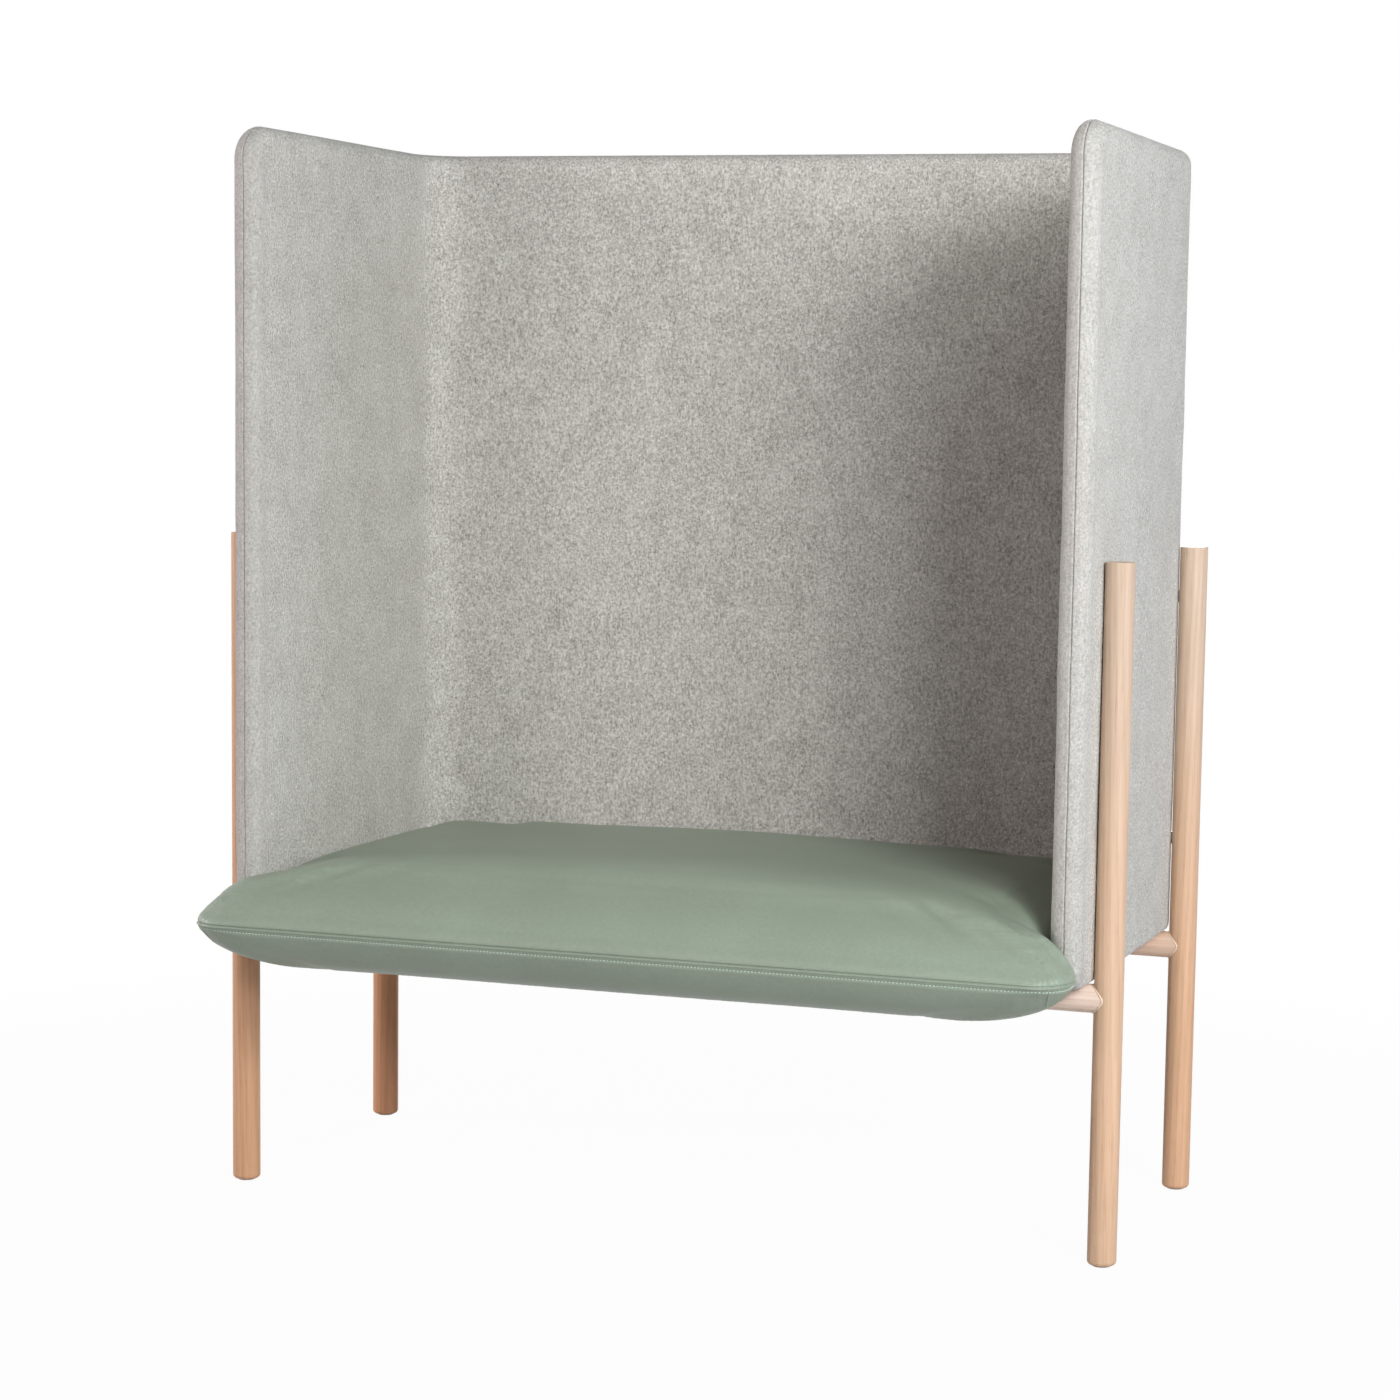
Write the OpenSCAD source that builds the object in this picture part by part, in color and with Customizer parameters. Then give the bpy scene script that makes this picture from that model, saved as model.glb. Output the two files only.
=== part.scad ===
// Acoustic high back lounge seat: a three-sided felt screen held by four round oak legs,
// two oak crossbars and a crowned leather seat. Front is -Y, the floor is Z = 0.

/* [Legs] */
// Spacing of the leg axes across the seat
leg_span_x = 1160; // [900:10:1600]
// Spacing of the leg axes from front to back
leg_span_y = 422; // [350:2:520]
// Height of the top of a leg above the floor
leg_h = 855; // [700:5:1100]
// Diameter of a leg
leg_d = 36; // [32:1:44]
// Radius of the rounded edge at the foot of a leg
leg_foot_r = 5.5; // [1:0.5:7]
// Radius of the rounded edge at the top of a leg
leg_top_r = 1.5; // [0.5:0.5:5]
// Wood left outside a blind bore in a leg
leg_wall = 10; // [7:1:14]
// Diameter of the glide under a leg
glide_d = 22; // [12:1:24]
// Thickness of the glide under a leg
glide_t = 1.5; // [1:0.5:4]
// Diameter of a glide's stem
glide_stem_d = 7; // [5:1:10]
// Length of a glide's stem
glide_stem_h = 20; // [12:1:30]

/* [Crossbars] */
// How much thinner a crossbar is than a leg
bar_step = 1; // [0.5:0.5:6]
// Height of the crossbar axes above the floor
bar_z = 328; // [260:2:420]
// Diameter of the round tenon on a crossbar
tenon_d = 20; // [14:1:24]

/* [Felt screen] */
// Thickness of the padded screen
screen_t = 41; // [38:1:46]
// Height of the top of the screen above the floor
screen_top = 1370; // [1100:10:1600]
// Reach of the screen in front of the front leg axes
front_reach = 77; // [66:1:99]
// Reach of the screen behind the rear leg axes
back_reach = 75; // [70:1:90]
// Outer radius of the rear corners, seen from above
screen_corner_r = 84; // [70:1:100]
// Radius of the upper front corner, seen from the side
screen_top_r = 48; // [42:1:80]
// Radius of the lower front corner, seen from the side
screen_foot_r = 30; // [26:1:40]
// Thickness of the felt cover
felt_t = 2.5; // [1.5:0.5:3.5]
// Thickness of the boards inside the screen
board_t = 18; // [15:1:20]
// Distance of a board's edge from the outside of the screen
board_margin = 15; // [12:1:20]
// Air between the screen and a leg, and between the screen and a crossbar
screen_gap = 0.4; // [0.2:0.1:0.8]

/* [Seat] */
// Reach of the seat's nose in front of the screen
nose_reach = 110; // [96:1:150]
// How much further than between the screens the nose spreads to each side
nose_flare = 48; // [20:1:60]
// Radius of the nose's corners, seen from above
nose_r = 45; // [20:1:46]
// Height of the crown above the seam
crown_rise = 87; // [50:1:110]
// Depth of the nose below the seam
belly_drop = 52; // [44:1:70]
// Height of the seam above the seat board
seam_rise = 7; // [4:1:12]
// Thickness of the leather
leather_t = 2; // [1:0.5:3]
// Thickness of the seat board
seat_board_t = 12; // [9:1:18]
// Air between the seat and the screen
seat_gap = 1.5; // [0.5:0.5:4]
// Thickness of the dust cover under the seat
dust_t = 1; // [0.5:0.5:2]

/* [Fasteners] */
// Diameter of a leg bolt
leg_bolt_d = 8; // [6:1:10]
// Height of the lower leg bolts above the foot of the screen
leg_bolt_low = 125; // [80:5:200]
// Distance of the upper leg bolts below the top of a leg
leg_bolt_down = 65; // [40:5:120]
// Outer diameter of a threaded insert in a leg
insert_d = 12; // [11:1:14]
// Outer diameter of a spacer between board and leg
spacer_d = 16; // [14:1:20]
// Diameter of a seat bolt
seat_bolt_d = 6; // [5:1:8]
// Distance of the outer seat bolts from the leg axes, across the seat
seat_bolt_inset = 200; // [150:5:300]
// Height of a saddle between crossbar and seat
saddle_rise = 4.5; // [3:0.5:10]
// Diameter of the dowels that join the boards
dowel_d = 8; // [6:1:8]
// Length of a dowel
dowel_len = 40; // [34:1:50]

/* [Hidden] */
$fn = 64;

oak = [0.87, 0.74, 0.59];
birch = [0.84, 0.74, 0.58];
felt_grey = [0.72, 0.71, 0.69];
foam_yellow = [0.93, 0.88, 0.7];
sage_leather = [0.54, 0.62, 0.54];
steel = [0.7, 0.71, 0.73];
brass_tone = [0.76, 0.66, 0.38];
black_nylon = [0.12, 0.12, 0.13];
white_nylon = [0.9, 0.89, 0.86];
black_cloth = [0.1, 0.1, 0.11];

// Overrun of every cut past the face that it opens
cut = 1;
// Clearance round a tenon, a stem, a bolt or a saddle
fit = 0.1;

// Legs and crossbars
leg_x = leg_span_x / 2;
leg_y = leg_span_y / 2;
leg_r = leg_d / 2;
bar_d = leg_d - bar_step;
bar_top = bar_z + bar_d / 2;
tenon_len = leg_d - leg_wall;

// Screen: its reach from the middle, its outer faces, its middle line and its corner centres
screen_front = leg_y + front_reach;
screen_back = leg_y + back_reach;
screen_x = leg_x - leg_r - screen_gap;
screen_foot = bar_top + screen_gap;
wall_r = screen_t / 2;
wall_x = screen_x - wall_r;
wall_y = screen_back - wall_r;
bend_r = screen_corner_r - wall_r;
bend_x = wall_x - bend_r;
bend_y = wall_y - bend_r;
board_foot = screen_foot + board_margin;
board_top = screen_top - board_margin;

// The upper front corner begins at this depth
front_end_y = -screen_front + screen_top_r;

// Points in an arc
arc_steps = 6;

// Seat: heights of its layers and its outline seen from above
seat_under = bar_top + saddle_rise;
seat_board_z = seat_under + leather_t;
seam_z = seat_board_z + seat_board_t + seam_rise;
body_drop = seam_z - seat_under;
seat_x = wall_x - wall_r - seat_gap;
seat_back_y = wall_y - wall_r - seat_gap;
seat_back_r = bend_r - wall_r;
back_corner_y = seat_back_y - seat_back_r;
nose_x = seat_x + nose_flare;
nose_y = -screen_front - nose_reach;
nose_corner_y = nose_y + nose_r;
// Share of the screen's thickness over which the seat still keeps clear of its rounded edge
flare_clear_share = 0.36;
flare_back_y = -screen_front + flare_clear_share * screen_t;
flare_front_y = flare_back_y - 1.25 * nose_flare;
// Height between the inner edges of the two leathers at the seam
seam_lip = 1;
// Width over which the crown rises from the seam at the front, the sides and the back
crown_front = 184;
crown_side = 62;
crown_back = 110;
// Share of the crown that is lost from the middle to the sides
crown_fall_share = 0.18;
// Width over which the underside falls from the seam at the nose, its ends and round the board
belly_front = 50;
belly_side = 130;
under_edge = 10;
belly_back_y = -leg_y - bar_d / 2 - under_edge;
belly_mid_y = nose_y + belly_front;
// Lines of points on the seat, from its edge inwards and from its nose to its back
rim_shares = [0, 0.04, 0.12, 0.25, 0.44, 0.68, 1];
rim_count = len(rim_shares);
mid_steps = 8;
seat_across = 2 * (rim_count - 1) + mid_steps;
nose_steps = 6;
flare_steps = 5;
body_steps = 5;
seat_along = 2 * nose_steps + flare_steps + body_steps + 2;
// The seat board ends at the lines where the underside has become flat
seat_board_x = seat_x - leather_t - rim_shares[3] * crown_side - fit;
seat_board_back = seat_back_y - leather_t - (seat_back_r - leather_t) * (1 - sin(45)) - fit;
seat_board_front = belly_back_y + fit;

// Fasteners
seat_bolt_x = leg_x - seat_bolt_inset;
leg_bolt_zs = [screen_foot + leg_bolt_low, leg_h - leg_bolt_down];
leg_bolt_head_d = 1.75 * leg_bolt_d;
leg_bolt_head_h = leg_bolt_d / 2;
insert_sink = leg_bolt_d / 4;
seat_bolt_head_d = 1.75 * seat_bolt_d;
seat_bolt_head_h = seat_bolt_d / 2;
seat_bolt_sink = seat_bolt_d;
seat_nut_d = 2 * seat_bolt_d;
seat_nut_flange_d = 3.3 * seat_bolt_d;
seat_nut_flange_h = seat_bolt_d / 4;
saddle_w = 18;
saddle_len = 46;
saddle_wrap = 9;
dowel_in_post = 14;
dowel_shares = [0.06, 0.5, 0.94];
dust_inset = 8;

// Under the board the leather ends in a hem, which begins on this line of rim_shares
hem_line = 4;
hem_y = -leg_y - saddle_w / 2 - 2 * fit;
// First and last line of the hem's opening, across and along the seat
hem_across = [hem_line, seat_across - hem_line];
hem_along = [nose_steps + flare_steps + 2, seat_along - nose_steps + 2];

// 0 below the range, 1 above it, with a smooth rise between
function smooth_step(t) = let (u = min(1, max(0, t))) u * u * (3 - 2 * u);

// Quarter-round rise from 0 at an edge to 1 at the given reach from it
function edge_rise(d, reach) = d >= reach ? 1 : sqrt(max(0, 1 - pow(1 - max(0, d) / reach, 2)));

// Points of an arc round [x, y] from angle a to angle b
function arc_points(x, y, r, a, b) = [
    for (i = [0:arc_steps]) let (t = a + (b - a) * i / arc_steps) [x + r * cos(t), y + r * sin(t)]
];

// Half width of the seat at depth y, inset by c
function arc_half(x, r, d) = x - r + sqrt(max(0, r * r - d * d));
function seat_half(y, c) =
    y < nose_corner_y ? arc_half(nose_x - c, nose_r - c, nose_corner_y - y)
    : y > back_corner_y ? arc_half(seat_x - c, seat_back_r - c, y - back_corner_y)
    : nose_x - c - nose_flare * smooth_step((y - flare_front_y) / (flare_back_y - flare_front_y));

// Depths of the seat's rows of points, and place i across a row at depth y
function steps_between(a, b, n) = [for (i = [0:n - 1]) a + (b - a) * i / n];
function seat_rows(c) = concat(
    [for (i = [0:nose_steps - 1]) nose_corner_y - (nose_r - c) * cos(90 * i / nose_steps)],
    steps_between(nose_corner_y, flare_back_y, flare_steps),
    [flare_back_y, belly_back_y],
    steps_between(hem_y, back_corner_y, body_steps),
    [for (i = [0:nose_steps]) back_corner_y + (seat_back_r - c) * sin(90 * i / nose_steps)]
);
function seat_place(i, y, c) =
    let (w = seat_half(y, c))
    i < rim_count ? rim_shares[i] * crown_side - w
    : i > seat_across - rim_count ? w - rim_shares[seat_across - i] * crown_side
    : (w - crown_side) * (2 * (i - rim_count + 1) / mid_steps - 1);
function crown_z(x, y, c) =
    let (
        w = seat_half(y, c),
        lip = c > 0 ? seam_lip : 0,
        round_front = edge_rise(y - nose_y - c, crown_front),
        round_side = edge_rise(w - abs(x), crown_side),
        round_back = edge_rise(seat_back_y - c - y, crown_back),
        arch = 1 - crown_fall_share * pow(x / w, 2)
    )
    seam_z + lip + (crown_rise - c - lip) * round_front * round_side * round_back * arch;
function under_z(x, y, c) =
    let (
        w = seat_half(y, c),
        lip = c > 0 ? seam_lip : 0,
        back_share = smooth_step((y - belly_mid_y) / (belly_back_y - belly_mid_y)),
        drop = belly_drop + (body_drop - belly_drop) * back_share - c - lip,
        side = belly_side + (under_edge - belly_side) * back_share,
        round_front = edge_rise(y - nose_y - c, belly_front),
        round_side = edge_rise(w - abs(x), side),
        round_back = edge_rise(seat_back_y - c - y, under_edge)
    )
    seam_z - lip - drop * round_front * round_side * round_back;
function crown_grid(c) = [
    for (i = [0:seat_across]) for (y = seat_rows(c)) let (x = seat_place(i, y, c)) [x, y, crown_z(x, y, c)]
];
function under_grid(c) = [
    for (i = [0:seat_across]) for (y = seat_rows(c)) let (x = seat_place(i, y, c)) [x, y, under_z(x, y, c)]
];

// Two triangles of a four-sided face
function halves(a, b, c, d) = [[a, b, c], [a, c, d]];
function reversed(faces) = [for (f = faces) [f[2], f[1], f[0]]];

// Faces that join the rims of two grids of rows of m points, u points apart
function low_rim(m, u, j, from, to) =
    [for (i = [from:to - 1]) let (p = i * m + j) each halves(p + m, p, p + u, p + m + u)];
function high_rim(m, u, j, from, to) =
    [for (i = [from:to - 1]) let (p = i * m + j) each halves(p, p + m, p + m + u, p + u)];
function first_rim(m, u, i, from, to) =
    [for (j = [from:to - 1]) let (p = i * m + j) each halves(p, p + 1, p + 1 + u, p + u)];
function last_rim(m, u, i, from, to) =
    [for (j = [from:to - 1]) let (p = i * m + j) each halves(p + 1, p, p + u, p + 1 + u)];

// Faces of a solid between two grids of n rows of m points; across and along bound an opening in it
function sheet_faces(n, m, across, along) =
    let (
        u = n * m,
        skin = [
            for (i = [0:n - 2]) for (j = [0:m - 2])
                if (i < across[0] || i >= across[1] || j < along[0] || j >= along[1])
                    let (p = i * m + j) each halves(p, p + m, p + m + 1, p + 1)
        ],
        lining = [for (f = skin) [f[0] + u, f[2] + u, f[1] + u]],
        rims = concat(
            low_rim(m, u, 0, 0, n - 1), high_rim(m, u, m - 1, 0, n - 1),
            first_rim(m, u, 0, 0, m - 1), last_rim(m, u, n - 1, 0, m - 1)
        ),
        opening = across[0] == across[1] ? [] : concat(
            high_rim(m, u, along[0], across[0], across[1]), low_rim(m, u, along[1], across[0], across[1]),
            last_rim(m, u, across[0], along[0], along[1]), first_rim(m, u, across[1], along[0], along[1])
        )
    )
    concat(rims, opening, skin, lining);
module sheet(grid, lining, turned, across = [0, 0], along = [0, 0]) {
    faces = sheet_faces(seat_across + 1, seat_along + 1, across, along);
    polyhedron(concat(grid, lining), turned ? reversed(faces) : faces);
}

// Half of a padded edge of the screen: len deep along X to a round end, r thick along Y
module padded_end(len, r) {
    square([len - r, r]);
    translate([len - r, 0]) intersection() {
        circle(r);
        square(r);
    }
}

// The same for one layer of the screen: "foam" on both sides, or the "outer" or the "inner" felt
module edge_profile(len, layer) {
    if (layer == "foam")
        for (face = [0, 1]) mirror([0, face]) padded_end(len - felt_t, wall_r - felt_t);
    else
        mirror([0, layer == "inner" ? 1 : 0]) difference() {
            padded_end(len, wall_r);
            padded_end(len - felt_t, wall_r - felt_t);
        }
}

// Upright section of a layer: outwards along X, up along Y
module wall_section(layer) {
    translate([0, (screen_top + screen_foot) / 2])
        for (end = [0, 1])
            mirror([0, end]) rotate(90) mirror([0, 1]) edge_profile((screen_top - screen_foot) / 2, layer);
}

// Quarter turn of a layer round a corner of the screen's front end, from -Y to +Z
module corner_turn(r, layer) {
    rotate([90, 0, -90]) mirror([0, 0, 1]) rotate_extrude(angle = 90) edge_profile(r, layer);
}

// A layer of the right side, up to the rear bend
module screen_side(layer) {
    foot_corner_z = screen_foot + screen_foot_r;
    top_corner_z = screen_top - screen_top_r;
    translate([wall_x, bend_y, 0])
        rotate([90, 0, 0]) linear_extrude(bend_y - front_end_y) wall_section(layer);
    translate([wall_x, front_end_y, foot_corner_z])
        linear_extrude(top_corner_z - foot_corner_z) rotate(-90) edge_profile(screen_top_r, layer);
    translate([wall_x, front_end_y, top_corner_z]) corner_turn(screen_top_r, layer);
    translate([wall_x, -screen_front + screen_foot_r, foot_corner_z])
        mirror([0, 0, 1]) corner_turn(screen_foot_r, layer);
    translate([wall_x, front_end_y, foot_corner_z])
        rotate([90, 0, 0])
            linear_extrude(screen_top_r - screen_foot_r) rotate(-90) edge_profile(screen_foot_r, layer);
}

// A layer of the right rear bend, and of the back
module screen_bend(layer) {
    translate([bend_x, bend_y, 0])
        rotate_extrude(angle = 90) translate([bend_r, 0]) wall_section(layer);
}
module screen_back(layer) {
    translate([-bend_x, wall_y, 0]) rotate([90, 0, 90]) linear_extrude(2 * bend_x) wall_section(layer);
}

// A cylinder along +X from x = from to x = to
module rod_x(from, to, d) translate([from, 0, 0]) rotate([0, 90, 0]) cylinder(d = d, h = to - from);

// Its children, drawn about the middle of the legs, with the origin under the middle of the whole
module placed() translate([0, (screen_front + nose_reach - screen_back) / 2, 0]) children();

// Its children at the four leg axes, with +X pointing out from the seat
module at_legs() {
    for (side = [-1, 1], end = [-1, 1])
        translate([0, end * leg_y, 0])
            if (side > 0) children();
            else mirror([1, 0, 0]) children();
}

// Its children at the eight leg bolts
module at_leg_bolts() at_legs() for (z = leg_bolt_zs) translate([0, 0, z]) children();

// Bores of the right side's leg bolts, and of the spacers round them
module leg_bolt_bores() {
    for (end = [-1, 1], z = leg_bolt_zs) translate([0, end * leg_y, z]) {
        rod_x(wall_x - board_t, wall_x + board_t, leg_bolt_d + 2 * fit);
        rod_x(wall_x - board_t, wall_x - board_t / 2 + leg_bolt_head_h, leg_bolt_head_d + 2 * fit);
    }
}
module spacer_bores() {
    for (end = [-1, 1], z = leg_bolt_zs) translate([0, end * leg_y, z]) rod_x(wall_x, leg_x, spacer_d);
}

// Its children at the six seat bolts
module at_seat_bolts() {
    for (x = [-seat_bolt_x, 0, seat_bolt_x], y = [-leg_y, leg_y]) translate([x, y, 0]) children();
}

module leg_profile() {
    polygon(concat(
        [[0, glide_t]],
        arc_points(leg_r - leg_foot_r, glide_t + leg_foot_r, leg_foot_r, -90, 0),
        arc_points(leg_r - leg_top_r, leg_h - leg_top_r, leg_top_r, 0, 90),
        [[0, leg_h]]
    ));
}

module leg() {
    inner_x = leg_x - leg_r;
    color(oak)
    difference() {
        translate([leg_x, 0, 0]) rotate_extrude() leg_profile();
        translate([0, 0, bar_z]) rod_x(inner_x - cut, inner_x + tenon_len + fit, tenon_d + 2 * fit);
        for (z = leg_bolt_zs) translate([0, 0, z]) rod_x(inner_x - cut, inner_x + tenon_len, insert_d);
        translate([leg_x, 0, glide_t - cut])
            cylinder(d = glide_stem_d + 2 * fit, h = glide_stem_h + cut + fit);
    }
}

module crossbar() {
    color(oak)
    union() {
        difference() {
            translate([0, 0, bar_z]) rod_x(-leg_x, leg_x, bar_d);
            for (side = [-1, 1])
                translate([side * leg_x, 0, bar_z - leg_d]) cylinder(r = leg_r + fit, h = 2 * leg_d);
            for (x = [-seat_bolt_x, 0, seat_bolt_x]) {
                translate([x, 0, bar_z - bar_d]) cylinder(d = seat_bolt_d + 2 * fit, h = 2 * bar_d);
                translate([x, 0, bar_z - bar_d])
                    cylinder(d = seat_bolt_head_d + 4 * fit, h = bar_d / 2 + seat_bolt_sink);
            }
        }
        for (side = [-1, 1]) {
            tip = side * (leg_x - leg_r + tenon_len);
            root = side * (leg_x - leg_r - tenon_d / 2);
            translate([0, 0, bar_z]) rod_x(min(tip, root), max(tip, root), tenon_d);
        }
    }
}

module foot_glides() {
    color(white_nylon)
    at_legs() translate([leg_x, 0, 0]) {
        cylinder(d = glide_d, h = glide_t);
        cylinder(d = glide_stem_d, h = glide_t + glide_stem_h);
    }
}

module leg_inserts() {
    color(brass_tone)
    at_leg_bolts() difference() {
        rod_x(leg_x - leg_r + insert_sink, leg_x - leg_r + tenon_len, insert_d);
        rod_x(leg_x - leg_r - cut, leg_x - leg_r + tenon_len + cut, leg_bolt_d);
    }
}

module leg_bolts() {
    color(steel)
    at_leg_bolts() {
        head_x = wall_x - board_t / 2;
        rod_x(head_x, head_x + leg_bolt_head_h, leg_bolt_head_d);
        rod_x(head_x + leg_bolt_head_h, leg_x - leg_r + tenon_len - insert_sink, leg_bolt_d);
    }
}

module leg_spacers() {
    color(steel)
    at_leg_bolts() difference() {
        rod_x(wall_x + board_t / 2, leg_x - leg_r, spacer_d);
        rod_x(wall_x, leg_x, leg_bolt_d + 2 * fit);
    }
}

module side_board_outline() {
    front = -screen_front + board_margin;
    top_r = screen_top_r - board_margin;
    foot_r = screen_foot_r - board_margin / 2;
    polygon(concat(
        [[bend_y, board_foot], [bend_y, board_top]],
        arc_points(front + top_r, board_top - top_r, top_r, 90, 180),
        arc_points(front + foot_r, board_foot + foot_r, foot_r, 180, 270)
    ));
}

module side_board_block() {
    translate([wall_x - board_t / 2, 0, 0])
        rotate([90, 0, 90]) linear_extrude(board_t) side_board_outline();
}

module dowel_rows() {
    for (share = dowel_shares)
        translate([0, 0, board_foot + share * (board_top - board_foot)]) children();
}

module side_dowel() {
    translate([wall_x, bend_y + dowel_in_post - dowel_len, 0])
        rotate([-90, 0, 0]) cylinder(d = dowel_d, h = dowel_len);
}

module back_dowel() {
    translate([0, wall_y, 0]) rod_x(bend_x + dowel_in_post - dowel_len, bend_x + dowel_in_post, dowel_d);
}

// The right side's board; the left one is its mirror image
module side_board() {
    color(birch)
    difference() {
        side_board_block();
        leg_bolt_bores();
        dowel_rows() side_dowel();
    }
}

module back_board_block() {
    translate([-bend_x, wall_y - board_t / 2, board_foot])
        cube([2 * bend_x, board_t, board_top - board_foot]);
}

module back_board() {
    color(birch)
    difference() {
        back_board_block();
        dowel_rows() {
            back_dowel();
            mirror([1, 0, 0]) back_dowel();
        }
    }
}

module corner_post_block() {
    translate([bend_x, bend_y, board_foot])
        rotate_extrude(angle = 90)
            translate([bend_r - board_t / 2, 0]) square([board_t, board_top - board_foot]);
}

// The right side's bent post; the left one is its mirror image
module corner_post() {
    color(birch)
    difference() {
        corner_post_block();
        leg_bolt_bores();
        dowel_rows() {
            side_dowel();
            back_dowel();
        }
    }
}

module board_dowels() {
    color(birch)
    for (side = [0, 1]) mirror([side, 0, 0]) dowel_rows() {
        side_dowel();
        back_dowel();
    }
}

// The right side's foam pad; the left one is its mirror image
module foam_side() {
    color(foam_yellow)
    difference() {
        screen_side("foam");
        side_board_block();
        spacer_bores();
    }
}

// The right bend's foam pad; the left one is its mirror image
module foam_corner() {
    color(foam_yellow)
    difference() {
        screen_bend("foam");
        corner_post_block();
        spacer_bores();
    }
}

module foam_back() {
    color(foam_yellow)
    difference() {
        screen_back("foam");
        back_board_block();
    }
}

module felt_cover(layer) {
    screen_back(layer);
    for (side = [0, 1]) mirror([side, 0, 0]) {
        screen_bend(layer);
        screen_side(layer);
    }
}

module felt_cover_outer() {
    color(felt_grey)
    difference() {
        felt_cover("outer");
        for (side = [0, 1]) mirror([side, 0, 0]) spacer_bores();
    }
}

module felt_cover_inner() {
    color(felt_grey)
    felt_cover("inner");
}

module seat_board_block() {
    r = seat_board_back - back_corner_y;
    translate([0, 0, seat_board_z]) linear_extrude(seat_board_t) polygon(concat(
        [[-seat_board_x, seat_board_front], [seat_board_x, seat_board_front]],
        arc_points(seat_board_x - r, back_corner_y, r, 0, 90),
        arc_points(r - seat_board_x, back_corner_y, r, 90, 180)
    ));
}

module seat_board() {
    color(birch)
    difference() {
        seat_board_block();
        at_seat_bolts() {
            translate([0, 0, seat_board_z - cut]) cylinder(d = seat_nut_d, h = seat_board_t + 2 * cut);
            translate([0, 0, seat_board_z + seat_board_t - seat_nut_flange_h])
                cylinder(d = seat_nut_flange_d, h = seat_nut_flange_h + cut);
        }
    }
}

module seat_foam() {
    color(foam_yellow)
    difference() {
        sheet(crown_grid(leather_t), under_grid(leather_t), true);
        translate([0, 0, -cut]) seat_board_block();
        seat_board_block();
    }
}

module seat_cover_top() {
    color(sage_leather)
    sheet(crown_grid(0), crown_grid(leather_t), true);
}

module seat_cover_bottom() {
    color(sage_leather)
    sheet(under_grid(0), under_grid(leather_t), false, hem_across, hem_along);
}

module dust_cover() {
    half_x = seat_board_x - 2 * dust_inset;
    half_y = leg_y - bar_d / 2 - dust_inset;
    color(black_cloth)
    translate([-half_x, -half_y, seat_board_z - dust_t]) cube([2 * half_x, 2 * half_y, dust_t]);
}

module bar_saddles() {
    color(black_nylon)
    at_seat_bolts() difference() {
        translate([-saddle_len / 2, -saddle_w / 2, bar_top - saddle_wrap])
            cube([saddle_len, saddle_w, seat_board_z - bar_top + saddle_wrap]);
        translate([0, 0, bar_z]) rod_x(-saddle_len, saddle_len, bar_d + 2 * fit);
        translate([0, 0, bar_z]) cylinder(d = seat_bolt_d + 2 * fit, h = leg_d);
    }
}

module seat_bolts() {
    head_z = bar_z - bar_d / 2 + seat_bolt_sink - seat_bolt_head_h;
    color(steel)
    at_seat_bolts() {
        translate([0, 0, head_z]) cylinder(d = seat_bolt_head_d, h = seat_bolt_head_h);
        translate([0, 0, head_z + seat_bolt_head_h])
            cylinder(d = seat_bolt_d, h = seat_board_z + seat_board_t - head_z - seat_bolt_head_h);
    }
}

module seat_nuts() {
    color(steel)
    at_seat_bolts() difference() {
        union() {
            translate([0, 0, seat_board_z + fit])
                cylinder(d = seat_nut_d, h = seat_board_t - fit);
            translate([0, 0, seat_board_z + seat_board_t - seat_nut_flange_h])
                cylinder(d = seat_nut_flange_d, h = seat_nut_flange_h);
        }
        translate([0, 0, seat_board_z - cut]) cylinder(d = seat_bolt_d, h = seat_board_t + 2 * cut);
    }
}

placed() mirror([1, 0, 0]) translate([0, -leg_y, 0]) leg();  // leg_front_left
placed() translate([0, -leg_y, 0]) leg();  // leg_front_right
placed() mirror([1, 0, 0]) translate([0, leg_y, 0]) leg();  // leg_rear_left
placed() translate([0, leg_y, 0]) leg();  // leg_rear_right
placed() translate([0, -leg_y, 0]) crossbar();  // crossbar_front
placed() translate([0, leg_y, 0]) crossbar();  // crossbar_rear
placed() foot_glides();
placed() leg_inserts();
placed() leg_bolts();
placed() leg_spacers();
placed() mirror([1, 0, 0]) side_board();  // side_board_left
placed() side_board();  // side_board_right
placed() back_board();
placed() mirror([1, 0, 0]) corner_post();  // corner_post_left
placed() corner_post();  // corner_post_right
placed() board_dowels();
placed() mirror([1, 0, 0]) foam_side();  // foam_side_left
placed() foam_side();  // foam_side_right
placed() foam_back();
placed() mirror([1, 0, 0]) foam_corner();  // foam_corner_left
placed() foam_corner();  // foam_corner_right
placed() felt_cover_outer();
placed() felt_cover_inner();
placed() seat_board();
placed() seat_foam();
placed() seat_cover_top();
placed() seat_cover_bottom();
placed() dust_cover();
placed() bar_saddles();
placed() seat_bolts();
placed() seat_nuts();
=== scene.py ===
import math
from functools import cached_property

import bpy
import numpy as np
from mathutils import Matrix, Vector, noise
from mathutils.kdtree import KDTree


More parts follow.
